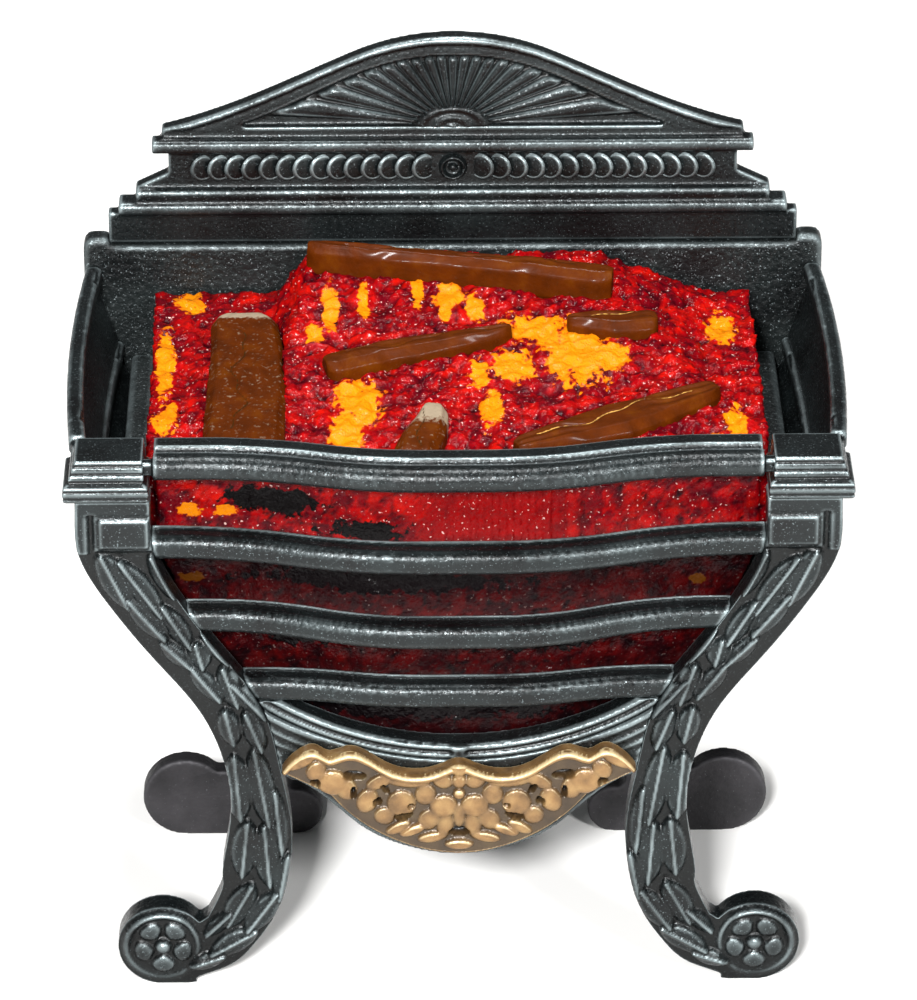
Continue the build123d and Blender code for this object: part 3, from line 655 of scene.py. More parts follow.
def crest_relief(points, normals):
    """A thin bead and a line round the edge of the pediment."""
    front = facing_front(normals)
    below = upper_edge(points, crest_outline_step_mm) - points[:, 2]
    in_pediment = np.clip((points[:, 2] - (crest_top - pediment_mm)) / 0.2, 0, 1)
    bead = np.sqrt(np.clip(1 - ((below - bead_below) / bead_half) ** 2, 0, 1)) * in_pediment
    line = np.exp(-(((below - line_below) / line_half) ** 2)) * in_pediment
    places = points.copy()
    places[:, 1] -= (bead_mm * bead - line_mm * line) * front
    # painted shade in the sunk line round the pediment
    return places, {"painted_recess_shade": line * front * 0.7}


crest = cast_copy("moulded_crest", "crest", crest_skin_mm, crest_relief)
fit(crest, "grate", casting_black, "black_casting", "crest")

fan_foot_z = crest_top - 5.8
fan_flutes = 19
fan_flat = 3.0          # degrees left above the sill at each end
boss_half_width = 2.45
boss_height = 1.45
fan_ground_mm = 0.33     # the grooves between the flutes, below the plate's face
flute_mm = 0.34
boss_ground_mm, boss_mm, boss_ridge_mm = 0.25, 0.32, 0.12
back_mm = 0.5            # the back of the fan and boss, inside the plate
# outer edge of the fan: distance from the middle, and height below the crest's top
fan_outline = [
    (13.1, 5.75),
    (11.4, 5.1),
    (9.5, 4.4),
    (7.7, 3.55),
    (5.9, 2.65),
    (4.0, 1.85),
    (2.0, 1.45),
    (0.0, 1.32),
]


def closed_relief(name, front, back_y):
    """A closed body from a grid of front points, given a flat back and side walls."""
    rows, columns = front.shape[:2]
    back = front.copy()
    back[:, :, 1] = back_y
    points = np.concatenate([front.reshape(-1, 3), back.reshape(-1, 3)])
    shift = rows * columns
    faces = []
    for row in range(rows - 1):
        for column in range(columns - 1):
            a = row * columns + column
            ring = (a, a + 1, a + columns + 1, a + columns)
            faces.append(ring)
            faces.append(tuple(corner + shift for corner in reversed(ring)))
    rim = list(range(columns))
    rim += [row * columns + columns - 1 for row in range(1, rows)]
    rim += [(rows - 1) * columns + column for column in range(columns - 2, -1, -1)]
    rim += [row * columns for row in range(rows - 2, 0, -1)]
    for here, there in zip(rim, rim[1:] + rim[:1]):
        faces.append((there, here, here + shift, there + shift))
    mesh = bpy.data.meshes.new(name)
    mesh.from_pydata(points.tolist(), [], faces)
    piece = add_object(name, mesh)
    set_points(mesh, points)
    return piece


def fan_reach(angle):
    """Distance from the fan's foot to its outer edge, at an angle from level."""
    edge = np.array([(x, crest_top - drop - fan_foot_z) for x, drop in fan_outline])
    angles = np.arctan2(edge[:, 1], edge[:, 0])
    return np.interp(np.minimum(angle, math.pi - angle), angles, np.hypot(edge[:, 0], edge[:, 1]))


def sunburst():
    """Rounded ribs that spread from the boss to the edge of the pediment's recess."""
    per_flute, along = 11, 26
    first = math.radians(fan_flat)
    angles = np.linspace(math.pi - first, first, fan_flutes * per_flute + 1)
    front = np.zeros((along + 1, len(angles), 3))
    painted_recess_shade = np.zeros((along + 1, len(angles)))
    bright = np.zeros((along + 1, len(angles)))
    for column, angle in enumerate(angles):
        inner = 1 / math.hypot(math.cos(angle) / boss_half_width, math.sin(angle) / boss_height) * 0.9
        outer = fan_reach(angle)
        off = ((angle - first) / (math.pi - 2 * first) * fan_flutes) % 1 * 2 - 1
        for row in range(along + 1):
            share = row / along
            reach = inner + (outer - inner) * share
            width = reach * math.pi / fan_flutes / 2
            end = max(0.0, (reach - (outer - width * 1.1)) / (width * 1.1))
            swell = math.sqrt(max(0.0, 1 - (off / 0.86) ** 2 - end**2))
            front[row, column] = (
                reach * math.cos(angle),
                plate_y + fan_ground_mm - flute_mm * swell,
                fan_foot_z + reach * math.sin(angle),
            )
            # painted shade in the grooves between the flutes, and a painted highlight along each flute's
            # crest
            painted_recess_shade[row, column] = max(0.0, 1 - swell * 2.2)
            bright[row, column] = 0.7 * math.exp(-(((swell - 0.62) / 0.14) ** 2))
    fan = closed_relief("sunburst_fan", front, plate_y + back_mm)
    set_shares(fan.data, "painted_recess_shade", np.tile(painted_recess_shade.ravel(), 2) * 0.9)
    set_shares(fan.data, "painted_highlight", np.tile(bright.ravel(), 2))
    return fan


fit(sunburst(), "grate", casting_black, "black_casting")


def fan_boss():
    """Half-round boss at the foot of the fan, with two ridges round it."""
    rings, around = 22, 48
    front = np.zeros((rings + 1, around + 1, 3))
    for row in range(rings + 1):
        share = row / rings
        ridge = 0.5 + 0.5 * math.cos(share * 2.6 * 2 * math.pi)
        dome = math.sqrt(max(0.0, 1 - share**2))
        for column in range(around + 1):
            angle = math.pi * (1 - column / around)
            front[row, column] = (
                share * boss_half_width * math.cos(angle),
                plate_y + boss_ground_mm - boss_mm * dome - boss_ridge_mm * ridge * (share < 0.98),
                fan_foot_z + share * boss_height * math.sin(angle),
            )
    return closed_relief("fan_boss", front[::-1], plate_y + back_mm)


fit(fan_boss(), "grate", casting_black, "black_casting")

frieze_z = crest_top - 8.45
coin_pitch = 1.02
coins_a_side = 14
first_coin = 1.7
coin_radius = 0.86
coin_thickness = 0.2     # as a share of its width
coin_rim_mm = 0.13
coin_turn = 24           # degrees
coin_stand_mm = 0.05     # the coins' middles stand this far in front of the plate


def tree_node(tree, kind, values=None, links=None, **settings):
    """One Geometry Nodes node, with its settings, values and links.
    A socket that joins takes a list."""
    node = tree.nodes.new(kind)
    for name, value in settings.items():
        setattr(node, name, value)
    for socket, value in (values or {}).items():
        node.inputs[socket].default_value = value
    for socket, sources in (links or {}).items():
        for source in sources if isinstance(sources, list) else [sources]:
            tree.links.new(source, node.inputs[socket])
    return node


def coin_tree():
    """A row of lapping coins with a wire rim, each turned so that its outer edge stands forward."""
    tree = bpy.data.node_groups.new("lapping_coins", "GeometryNodeTree")
    tree.interface.new_socket("Geometry", in_out="INPUT", socket_type="NodeSocketGeometry")
    for name, kind in [
        ("Count", "NodeSocketInt"),
        ("First", "NodeSocketVector"),
        ("Step", "NodeSocketVector"),
        ("Radius", "NodeSocketFloat"),
        ("Thickness", "NodeSocketFloat"),
        ("Rim Radius", "NodeSocketFloat"),
        ("Rim Wire", "NodeSocketFloat"),
        ("Turn", "NodeSocketVector"),
        ("Finish", "NodeSocketMaterial"),
    ]:
        tree.interface.new_socket(name, in_out="INPUT", socket_type=kind)
    tree.interface.new_socket("Geometry", in_out="OUTPUT", socket_type="NodeSocketGeometry")
    given = tree_node(tree, "NodeGroupInput").outputs
    line = tree_node(
        tree,
        "GeometryNodeMeshLine",
        links={"Count": given["Count"], "Start Location": given["First"], "Offset": given["Step"]},
    )
    ball = tree_node(
        tree,
        "GeometryNodeMeshUVSphere",
        {"Segments": 20, "Rings": 10},
        {"Radius": given["Radius"]},
    )
    squash = tree_node(
        tree,
        "ShaderNodeCombineXYZ",
        {"X": 1.0, "Z": 1.0},
        {"Y": given["Thickness"]},
    )
    coin = tree_node(
        tree,
        "GeometryNodeTransform",
        links={"Geometry": ball.outputs["Mesh"], "Scale": squash.outputs["Vector"]},
    )
    loop = tree_node(
        tree, "GeometryNodeCurvePrimitiveCircle", {"Resolution": 28}, {"Radius": given["Rim Radius"]}
    )
    wire = tree_node(
        tree, "GeometryNodeCurvePrimitiveCircle", {"Resolution": 8}, {"Radius": given["Rim Wire"]}
    )
    rim = tree_node(
        tree,
        "GeometryNodeCurveToMesh",
        links={"Curve": loop.outputs["Curve"], "Profile Curve": wire.outputs["Curve"]},
    )
    upright = tree_node(
        tree,
        "GeometryNodeTransform",
        {"Rotation": (math.pi / 2, 0, 0)},
        {"Geometry": rim.outputs["Mesh"]},
    )
    rimmed = tree_node(
        tree,
        "GeometryNodeJoinGeometry",
        links={"Geometry": [coin.outputs["Geometry"], upright.outputs["Geometry"]]},
    )
    row = tree_node(
        tree,
        "GeometryNodeInstanceOnPoints",
        links={
            "Points": line.outputs["Mesh"],
            "Instance": rimmed.outputs["Geometry"],
            "Rotation": given["Turn"],
        },
    )
    real = tree_node(tree, "GeometryNodeRealizeInstances", links={"Geometry": row.outputs["Instances"]})
    finish = tree_node(
        tree,
        "GeometryNodeSetMaterial",
        links={"Geometry": real.outputs["Geometry"], "Material": given["Finish"]},
    )
    tree_node(tree, "NodeGroupOutput", links={"Geometry": finish.outputs["Geometry"]})
    return tree


def grow(name, tree, inputs):
    """Runs a Geometry Nodes tree once with the given inputs, and keeps its result as a plain mesh."""
    seed = add_object(name, bpy.data.meshes.new(name + "_seed"))
    maker = seed.modifiers.new(name, "NODES")
    maker.node_group = tree
    sockets = {item.name: item.identifier for item in tree.interface.items_tree if item.in_out == "INPUT"}
    for input_name, value in inputs.items():
        maker[sockets[input_name]] = value
    made = bpy.data.meshes.new_from_object(seed.evaluated_get(bpy.context.evaluated_depsgraph_get()))
    seed.modifiers.clear()
    seed.data = made
    made.name = name
    made.polygons.foreach_set("use_smooth", np.ones(len(made.polygons), bool))
    places = np.array([corner.co / MM for corner in made.vertices])
    # painted highlight on the upper edges of the coins
    set_shares(made, "painted_highlight", painted_edge_highlight(made, places))
    return seed


coins = coin_tree()
for side, sign in (("left", -1), ("right", 1)):
    row = grow(
        side + "_coin_row",
        coins,
        {
            "Count": coins_a_side,
            "First": Vector((sign * first_coin, plate_y - coin_stand_mm, frieze_z)) * MM,
            "Step": Vector((sign * coin_pitch, 0, 0)) * MM,
            "Radius": coin_radius * MM,
            "Thickness": coin_thickness,
            "Rim Radius": 0.8 * coin_radius * MM,
            "Rim Wire": coin_rim_mm * MM,
            "Turn": Vector((0, 0, -sign * math.radians(coin_turn))),
            "Finish": casting_black,
        },
    )
    fit(row, "grate", casting_black, "black_casting")


ring_ground_mm, ring_mm, ring_sink_mm = 0.02, 0.34, 0.1
band_place, band_half, dot_reach = 0.78, 0.17, 0.34  # as shares of the ring's radius


def frieze_ring():
    """Plain ring with a dot in it, at the middle of the frieze."""
    rings, around = 20, 40
    front = np.zeros((rings + 1, around + 1, 3))
    for row in range(rings + 1):
        share = row / rings
        band = math.exp(-(((share - band_place) / band_half) ** 2))
        dot = math.sqrt(max(0.0, 1 - (share / dot_reach) ** 2))
        for column in range(around + 1):
            angle = -2 * math.pi * column / around
            front[row, column] = (
                share * coin_radius * math.cos(angle),
                plate_y - ring_ground_mm - ring_mm * max(band, dot),
                frieze_z + share * coin_radius * math.sin(angle),
            )
    return closed_relief("frieze_ring", front[::-1], plate_y + ring_sink_mm)


fit(frieze_ring(), "grate", casting_black, "black_casting")

# ---- Pan ----
# A tray of three rough cast plates under the fire. Only the ledges along the tops of its
# walls show, sparkling beside the coals, but the walls and floor are finished the same.
for node in ("pan_floor", "left_pan_wall", "right_pan_wall"):
    plate = cast_copy("rough_" + node, node, liner_skin_mm)
    fit(plate, "grate", liner_black, "rough_black_liner", node)

# ---- Rear feet ----
# Two flat lobed plates under the back of the pan, plain and matt, in a lighter and greyer
# black than the rest.
foot_skin_mm = 0.12
foot_black = stove_black(
    "matt_black_paint_on_rough_metal",
    dark="#232224",
    light="#39373a",
    glint="#5a5a5e",
    highlight_grey="#454447",
    flakes=0.28,
    roughness=0.6,
    grit_mm=0.3,
    grit_depth_mm=0.06,
)
for side in ("left", "right"):
    node = side + "_rear_foot"
    foot = cast_copy(side + "_lobed_foot", node, foot_skin_mm, softening=2)
    fit(foot, "grate", foot_black, "black_casting", node)

# ---- Ember bed ----
# A resin block moulded as a heap of small coals. It is painted crimson and scarlet with
# dabs of yellow where the fire is hottest and black patches across the front, under a thick
# gloss varnish. Each lump carries a painted white sparkle as a highlight, painted shade
# darkens its crevices, and painted shade lies over the front and sides.
coal_skin_mm = 0.205
coal_seed = 7
coal_mm = 1.5
cinder_mm = 0.5
crumb_mm = 1.1
bed_area_mm2 = 3600
lump_share, lump_reach = 0.55, 0.62      # of a lump's width squared, and of its width
# how high each kind of lump stands on the block's sides, and how much more on its top
coal_lift, cinder_lift, crumb_lift = (0.14, 0.22), (0.05, 0.08), (0.06, 0.2)
coal_flatness = 0.55
side_lift_mm = 0.12          # no lump on the sides stands out further
ember_rib_mm = 0.16
rib_mm = 0.85                # the ribs down the middle of the front, from one to the next
ribs_across, ribs_up = (2.2, 4.6), (27, 2)
seat_slack_mm = 0.1          # a point this far below the plain top lies in a log's seat,
seat_depth_mm = 1.7          # down to this depth,
seat_wall_mm = 0.35          # and this far in from the block's sides
# hot dabs on the top: centre across and back, half width, half depth
hot_top = [
    (-7.4, 6.6, 0.6, 2.6),
    (-8.2, 4.2, 0.6, 1.2),
    (-5.4, 7.8, 0.35, 2.2),
    (-2.2, 8.6, 0.4, 2.4),
    (-0.3, 8.3, 1.0, 1.3),
    (-0.6, 6.8, 0.4, 1.5),
    (1.2, 7.2, 0.7, 1.2),
    (4.6, 4.8, 1.9, 1.5),
    (7.3, 2.2, 2.1, 3.2),
    (9.0, 2.0, 1.2, 1.4),
    (3.4, 1.2, 1.3, 1.8),
    (1.4, 0.3, 0.7, 1.3),
    (2.1, -2.9, 0.7, 2.0),
    (-5.6, -2.2, 1.4, 2.6),
    (-6.3, -5.2, 1.1, 2.6),
    (15.9, 7.4, 1.0, 2.2),
    (16.2, -4.4, 0.7, 2.0),
    (14.6, -6.6, 1.4, 1.2),
    (-17.1, 3.2, 0.6, 4.6),
    (-16.9, -3.6, 0.8, 1.8),
    (-15.9, 11.4, 0.9, 1.6),
]
# hot dabs and black patches on the front: centre across and up, half width, half height
hot_front = [
    (-15.4, 30.2, 0.7, 0.5),
    (-13.3, 30.2, 0.7, 0.4),
    (-15.4, 25.8, 0.8, 0.35),
    (13.9, 25.5, 0.6, 0.35),
]
front_black_patches = [
    (-11.0, 31.0, 3.0, 0.9),
    (-5.2, 29.4, 2.6, 0.8),
    (-4.5, 26.2, 8.0, 0.8),
    (9.5, 27.2, 3.6, 0.7),
    (4.0, 22.3, 5.0, 0.8),
    (-9.5, 22.4, 2.0, 0.9),
    (-2.0, 18.0, 8.0, 1.1),
]
# painted shade over the front and sides: heights, and how dark it is at each
front_shade_heights = (17.0, 20.0, 22.0, 24.0, 26.5, 28.3, 29.2)
front_shade_shares = (0.96, 0.94, 0.85, 0.88, 0.95, 0.9, 0.3)


def lumps(points, count, seed):
    """For scattered lump centres among the points: distance to the nearest, how much further
    the next one is, and a share picked for the nearest."""
    random = np.random.default_rng(seed)
    chosen = random.choice(len(points), min(count, len(points)), replace=False)
    tree = KDTree(len(chosen))
    for number, place in enumerate(points[chosen]):
        tree.insert(place, number)
    tree.balance()
    picked = random.random(len(chosen))
    near = np.empty(len(points))
    gap = np.empty(len(points))
    share = np.empty(len(points))
    for number, place in enumerate(points):
        first, second = tree.find_n(place, 2)
        near[number] = first[2]
        gap[number] = second[2] - first[2]
        share[number] = picked[first[1]]
    return near, gap, share


front_step_mm = 0.3


def front_edge(points):
    """How far forward the block reaches at each point's distance from the middle."""
    number = ((points[:, 0] - points[:, 0].min()) / front_step_mm).astype(int)
    reach = np.full(number.max() + 1, np.inf)
    np.minimum.at(reach, number, points[:, 1])
    return reach[number]


def dabs(across, other, spots):
    """How deep inside any of the given oval spots a point lies: 1 at a middle, 0 at an edge."""
    inside = np.zeros(len(across)) - 1
    for x, y, half_width, half_depth in spots:
        inside = np.maximum(inside, 1 - np.hypot((across - x) / half_width, (other - y) / half_depth))
    return inside


# heights of the block's top: it slopes up to the back, and its crown falls off to each side
bed_front_z, bed_rear_z, bed_side_z, bed_crown_z = 32.2, 36.0, 33.3, 36.0
crown_half_width, crown_falls = 8.6, (2.2, 6.4)
bed_lo, bed_hi = [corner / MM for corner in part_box("ember_bed")]


def bed_top(across, back):
    """Height of the block's plain top, with no seats cut in it."""
    slope = bed_front_z + (back - bed_lo.y) / (bed_hi.y - bed_lo.y) * (bed_rear_z - bed_front_z)
    falls = np.where(across > 0, crown_falls[1], crown_falls[0])
    fall = np.clip((np.abs(across) - crown_half_width) / falls, 0, 1)
    return np.minimum(slope, bed_crown_z - fall * (bed_crown_z - bed_side_z))


def coal_relief(points, normals):
    """Lumps of two sizes over the whole block, with crevices between them. The coals close
    over the logs' seats, so that the logs are bedded in them."""
    top_z = bed_top(points[:, 0], points[:, 1])
    front_y = front_edge(points)
    seat = (points[:, 2] < top_z - seat_slack_mm) & (points[:, 2] > top_z - seat_depth_mm)
    seat &= points[:, 1] > front_y + seat_wall_mm
    seat &= (np.abs(points[:, 0]) < bed_hi.x - seat_wall_mm) & (points[:, 1] < bed_hi.y - seat_wall_mm)
    points = points.copy()
    points[seat, 2] = top_z[seat] - seat_slack_mm / 2
    normals = np.where(seat[:, None], (0.0, 0.0, 1.0), normals)
    coal_count = int(bed_area_mm2 / (lump_share * coal_mm**2))
    cinder_count = int(bed_area_mm2 / (lump_share * cinder_mm**2))
    near, gap, share = lumps(points, coal_count, coal_seed)
    small_near, small_gap, small_share = lumps(points, cinder_count, coal_seed + 1)
    dome = 1 - (near / (lump_reach * coal_mm)) ** 2
    small_dome = 1 - (small_near / (lump_reach * cinder_mm)) ** 2
    crumbs = np.array([noise.noise(Vector(place) / crumb_mm) for place in points])
    crumbs += 0.6 * np.array([noise.noise(Vector(place) / (0.45 * crumb_mm)) for place in points])
    top = np.clip((normals[:, 2] - 0.2) / 0.4, 0, 1)
    lift = coal_flatness * (coal_lift[0] + coal_lift[1] * top) * (np.clip(dome, -0.6, 1) - 0.55)
    lift += (cinder_lift[0] + cinder_lift[1] * top) * (np.clip(small_dome, -0.6, 1) - 0.5)
    lift += (crumb_lift[0] + crumb_lift[1] * top) * (0.35 - np.abs(crumbs) * 1.6)
    ribbed = np.exp(-(((points[:, 0] - ribs_across[0]) / ribs_across[1]) ** 4)) * (1 - top)
    ribbed *= np.clip((points[:, 2] - ribs_up[0]) / ribs_up[1], 0, 1)
    ribs = np.cos(points[:, 0] / rib_mm * 2 * math.pi) - 1
    lift = lift * (1 - ribbed) + ribbed * ember_rib_mm * ribs
    lift = np.where(top > 0.5, lift, np.minimum(lift, side_lift_mm))
    places = points + normals * lift[:, None]
    # painted shade in the crevices between the lumps and in the low crumbs
    crevice = np.exp(-gap / 0.16) * 0.9 + np.exp(-small_gap / 0.1) * 0.5
    # painted shade: the front and sides darkened, lighter near the top
    painted_front_shade = np.interp(points[:, 2], front_shade_heights, front_shade_shares) * (1 - top)
    hot = np.where(top > 0.3, dabs(points[:, 0], points[:, 1], hot_top), -1)
    hot = np.maximum(hot, np.where(top < 0.6, dabs(points[:, 0], points[:, 2], hot_front), -1))
    black_patch = np.where((top < 0.6) & (points[:, 1] < 0), dabs(points[:, 0], points[:, 2], front_black_patches), -1)
    return places, {
        "painted_recess_shade": (0.6 * crevice + 0.9 * np.clip(np.abs(crumbs) - 0.3, 0, 1)) * (1 - 0.6 * ribbed),
        "lump": 0.42 * share + 0.34 * small_share + 0.2 * (crumbs + 0.5),
        "hot": 0.5 + 0.5 * hot,
        "black_patch": 0.5 + 0.5 * black_patch,
        "ember": np.clip(ribbed, 0, 1),
        "painted_front_shade": painted_front_shade,
    }


def coal_paint():
    """Gloss varnish over hand-dabbed crimson, scarlet, yellow and black, with painted white sparkles as
    highlights, painted shade in the crevices and painted shade over the front.
    """
    material, shader = new_material(
        "varnished_ember_paint_on_resin",
        {"Roughness": 0.5, "Specular IOR Level": 0.03, "Coat Weight": 0.16, "Coat Roughness": 0.06},
    )
    place = add_node(material, "ShaderNodeTexCoord").outputs["Object"]
    cloud, fine, sparkle_noise = [
        add_node(
            material, "ShaderNodeTexNoise", {"Scale": 1 / (size * MM), "Detail": detail}, {"Vector": place}
        ).outputs["Fac"]
        for size, detail in ((0.9, 5.0), (0.3, 3.0), (0.2, 1.0))
    ]
    painted_recess_shade, lump, ember, painted_front_shade = [
        add_node(material, "ShaderNodeAttribute", attribute_name=share).outputs["Fac"]
        for share in ("painted_recess_shade", "lump", "ember", "painted_front_shade")
    ]
    stir = add_node(material, "ShaderNodeMath", {1: 0.55}, {0: cloud}, operation="MULTIPLY")
    blend = add_node(
        material, "ShaderNodeMath", {2: -0.02}, {0: lump, 1: lump}, operation="MULTIPLY_ADD"
    )
    mixed = add_node(
        material, "ShaderNodeMath", links={0: stir.outputs[0], 1: blend.outputs[0]}, operation="ADD"
    )
    red = add_node(
        material,
        "ShaderNodeValToRGB",
        links={"Fac": mixed.outputs[0]},
        ramp=[
            (0.12, linear("#2e000a")),
            (0.32, linear("#60000a")),
            (0.5, linear("#930104")),
            (0.85, linear("#b00c02")),
        ],
    )
    # painted highlight: pale sparkles where the noise peaks
    painted_sparkle = add_node(
        material,
        "ShaderNodeMapRange",
        {"From Min": 0.69, "From Max": 0.75, "To Max": 0.7},
        {"Value": sparkle_noise},
    )
    painted = lay_coats(
        material,
        red.outputs["Color"],
        [(ember, "#860203"), (painted_recess_shade, "#140004"), (painted_sparkle.outputs["Result"], "#d8b0a8")],
    )
    torn_edge = add_node(
        material, "ShaderNodeMath", {1: 0.9, 2: -0.7}, {0: cloud}, operation="MULTIPLY_ADD"
    )
    ragged = add_node(
        material, "ShaderNodeMath", {1: 0.5}, {0: fine, 2: torn_edge.outputs[0]}, operation="MULTIPLY_ADD"
    )
    for name, rim, middle in (("black_patch", "#0c0303", "#040303"), ("hot", "#b24303", "#c47004")):
        dab = add_node(material, "ShaderNodeAttribute", attribute_name=name)
        moved = add_node(
            material, "ShaderNodeMath", links={0: dab.outputs["Fac"], 1: ragged.outputs[0]}, operation="ADD"
        )
        edge = add_node(
            material,
            "ShaderNodeMapRange",
            {"From Min": 0.50, "From Max": 0.57},
            {"Value": moved.outputs[0]},
        )
        tone = add_node(
            material,
            "ShaderNodeValToRGB",
            links={"Fac": moved.outputs[0]},
            ramp=[(0.5, linear(rim)), (0.62, linear(middle))],
        )
        painted = add_node(
            material,
            "ShaderNodeMix",
            links={MIX_FACTOR: edge.outputs["Result"], MIX_A: painted, MIX_B: tone.outputs["Color"]},
            data_type="RGBA",
        ).outputs[MIX_RESULT]
    # painted shade over the front and sides
    painted = lay_coats(material, painted, [(painted_front_shade, "#050203")])
    surface = finish_paint(material, shader, painted, fine, 0.12)
    material.node_tree.links.new(surface, shader.inputs["Coat Normal"])
    return material


coals = cast_copy("heap_of_coals", "ember_bed", coal_skin_mm, coal_relief)
fit(coals, "fire", coal_paint(), "painted_coals", "ember_bed")

# ---- Logs ----
# Six split logs moulded in resin, half sunk in the coals. They are painted a flat brown,
# with a painted highlight as a thin pale line along an upper edge, fine cracks, and bare tan
# at a torn end.
log_skin_mm = 0.11
grain_mm, split_mm, ridge_mm = 0.55, 0.1, 0.05
split_half_mm = 0.09
bend_mm = 0.18
# width at the left or front end, the middle and the other end, as shares of the full width
log_tapers = {
    "log_left": (1.0, 0.97, 0.82),
    "log_back": (0.6, 0.75, 1.0),
    "log_middle": (0.95, 0.9, 0.4),
    "log_small": (0.3, 0.9, 0.75),
    "log_right": (0.45, 1.0, 0.5),
    "log_stub": (1.0, 0.95, 0.6),
}


def log_relief(points, normals):
    """Long splits and ridges that run with the grain, and a taper to each end."""
    middle = points.mean(0)
    spread = np.linalg.svd(points - middle, full_matrices=False)[2]
    along_axis = spread[0] * np.sign(spread[0][np.argmax(np.abs(spread[0]))])
    aside_axis = np.cross((0, 0, 1), along_axis)
    aside_axis /= np.linalg.norm(aside_axis)
    along = (points - middle) @ along_axis
    aside = (points - middle) @ aside_axis
    half_length = np.abs(along).max()
    half_width = np.abs(aside).max()
    phase = middle[0] * 1.7
    share = np.interp(along / half_length, (-1, 0, 1), log_taper)
    places = points + np.outer(aside * (share - 1), aside_axis)
    rounding = np.clip((np.abs(along) / half_length - 0.86) / 0.14, 0, 1) ** 2
    places -= np.outer(aside * share * 0.45 * rounding, aside_axis)
    places += np.outer(bend_mm * np.sin(along / half_length * 2.4 + phase), aside_axis)
    wander = 0.25 * np.sin(along * 0.9 + phase) + 0.12 * np.sin(along * 2.3 + 2 * phase)
    ridges = np.sin((aside + wander) / grain_mm * math.pi + phase) * np.sin(along * 0.35 + phase)
    split = np.exp(-(((aside - 0.2 * half_width + 1.6 * wander) / split_half_mm) ** 2))
    split *= np.abs(along) < 0.75 * half_length
    ends = np.clip((np.abs(along) - half_length + 0.5) / 0.4, 0, 1) * (0.5 + 0.5 * ridges)
    places += normals * (ridge_mm * ridges - split_mm * split - split_mm * ends)[:, None]
    # painted highlight: a thin band where the side turns up into the top, strongest on the rear side
    upper = np.clip((normals[:, 2] - 0.5) / 0.15, 0, 1) * np.clip((0.93 - normals[:, 2]) / 0.08, 0, 1)
    upper *= np.clip(normals[:, 1] / 0.2, 0.35, 1)
    rear = np.clip((points[:, 1] - points[:, 1].max() + torn_reach) / (0.6 * torn_reach), 0, 1)
    return places, {"split": split, "edge": upper, "torn": rear}


def log_paint(name, crack, torn_from):
    """Flat brown paint with a thin painted highlight along an upper edge; a torn end shows bare tan."""
    material, shader = new_material(
        name,
        {"Roughness": 0.5, "Specular IOR Level": 0.05, "Coat Weight": 0.08, "Coat Roughness": 0.15},
    )
    place = add_node(material, "ShaderNodeTexCoord").outputs["Object"]
    streaks, fine = [
        add_node(
            material, "ShaderNodeTexNoise", {"Scale": 1 / (size * MM), "Detail": detail}, {"Vector": place}
        ).outputs["Fac"]
        for size, detail in ((1.2, 5.0), (0.25, 3.0))
    ]
    brown = add_node(
        material,
        "ShaderNodeValToRGB",
        links={"Fac": streaks},
        ramp=[(0.3, linear("#3a1500")), (0.55, linear("#481c00")), (0.75, linear("#542700"))],
    )
    coats = []
    for name, colour, low, high in (
        ("edge", "#9a7a45", 1.2, 1.4),
        ("torn", "#847663", torn_from, torn_from + 0.3),
        ("split", crack, 1.05, 1.35),
    ):
        share = add_node(material, "ShaderNodeAttribute", attribute_name=name)
        moved = add_node(
            material, "ShaderNodeMath", links={0: share.outputs["Fac"], 1: fine}, operation="ADD"
        )
        mask = add_node(
            material, "ShaderNodeMapRange", {"From Min": low, "From Max": high}, {"Value": moved.outputs[0]}
        )
        coats.append((mask.outputs["Result"], colour))
    painted = lay_coats(material, brown.outputs["Color"], coats)
    finish_paint(material, shader, painted, fine, 0.05, 0.8)
    return material


PALE_CRACK, DARK_CRACK = "#b98f4a", "#2f1a03"
# where bare tan begins: past the paint's full strength on a whole log, so that none shows
WHOLE, TORN = 2.0, 0.6
log_finishes = {
    "log_left": (DARK_CRACK, TORN),
    "log_back": (DARK_CRACK, WHOLE),
    "log_middle": (DARK_CRACK, WHOLE),
    "log_small": (PALE_CRACK, WHOLE),
    "log_right": (PALE_CRACK, WHOLE),
    "log_stub": (DARK_CRACK, TORN),
}
torn_mm, stub_torn_mm = 1.1, 2.6
for node, (crack, torn_from) in log_finishes.items():
    log_taper = log_tapers[node]
    torn_reach = stub_torn_mm if node == "log_stub" else torn_mm
    stick = cast_copy("split_" + node, node, log_skin_mm, log_relief)
    fit(stick, "fire", log_paint("flat_brown_paint_" + node, crack, torn_from), "painted_logs", node)

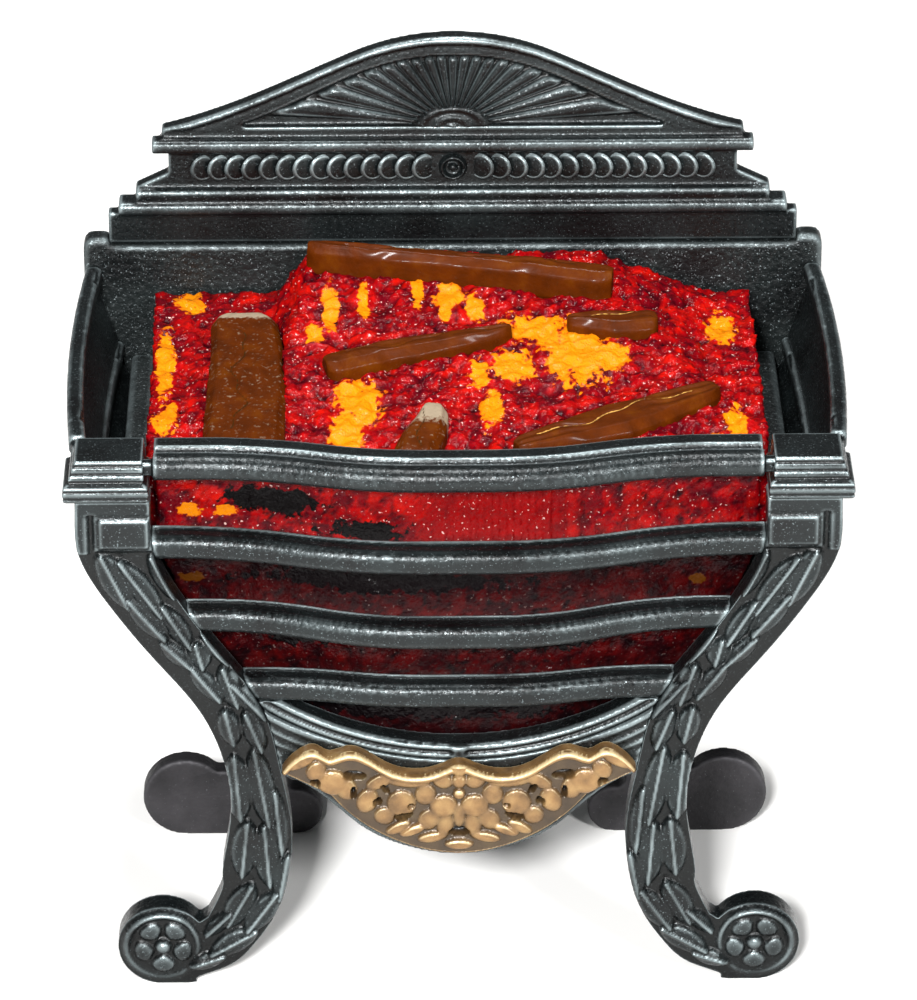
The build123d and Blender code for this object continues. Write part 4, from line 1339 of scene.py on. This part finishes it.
# ---- Floor, light and camera ----
# A pale table, a soft light overhead and two in front, and the viewer's place.
table_half = 3.0
floor_mesh = bpy.data.meshes.new("pale_table")
floor_corners = [(x * table_half, y * table_half, 0) for x, y in ((-1, -1), (1, -1), (1, 1), (-1, 1))]
floor_mesh.from_pydata(floor_corners, [], [(0, 1, 2, 3)])
floor = add_object("pale_table", floor_mesh)
table_paint = new_material("pale_matt_table", {"Base Color": linear("#f4f3f1"), "Roughness": 0.8})[0]
floor_mesh.materials.append(table_paint)

focus = Vector((0.1, -3.375, 27.65)) * MM  # what the lights and the camera are turned to


def soft_light(name, place, size, watts):
    """A square soft light, turned towards the middle of the object."""
    data = bpy.data.lights.new(name, "AREA")
    data.size = size
    data.energy = watts
    lamp = add_object(name, data)
    lamp.location = place
    lamp.rotation_euler = (focus - Vector(place)).to_track_quat("-Z", "Y").to_euler()


soft_light("overhead", (0.00, 0.05, 0.42), size=0.10, watts=1.5)
soft_light("front_left", (-0.07, -0.40, 0.27), size=0.06, watts=4.4)
soft_light("front_right", (0.22, -0.36, 0.24), size=0.07, watts=1.5)
world = bpy.data.worlds.new("pale_room")
world.use_nodes = True
room = world.node_tree.nodes["Background"]
room.inputs["Color"].default_value = linear("#eef1f3")
room.inputs["Strength"].default_value = 0.14
bpy.context.scene.world = world

camera_distance = 330 * MM
camera_pitch = math.radians(28.5)
camera_yaw = math.radians(0.8)
camera_lens_mm, camera_sensor_mm = 203.1, 36.0
away = Vector(
    (
        -math.sin(camera_yaw) * math.cos(camera_pitch),
        -math.cos(camera_yaw) * math.cos(camera_pitch),
        math.sin(camera_pitch),
    )
)
camera_data = bpy.data.cameras.new("camera")
camera_data.sensor_width = camera_sensor_mm
camera_data.lens = camera_lens_mm
camera_data.clip_start = 0.01
camera = add_object("camera", camera_data)
camera.location = focus + away * camera_distance
camera.rotation_euler = (-away).to_track_quat("-Z", "Y").to_euler()
bpy.context.scene.camera = camera
bpy.context.scene.view_settings.view_transform = "Standard"
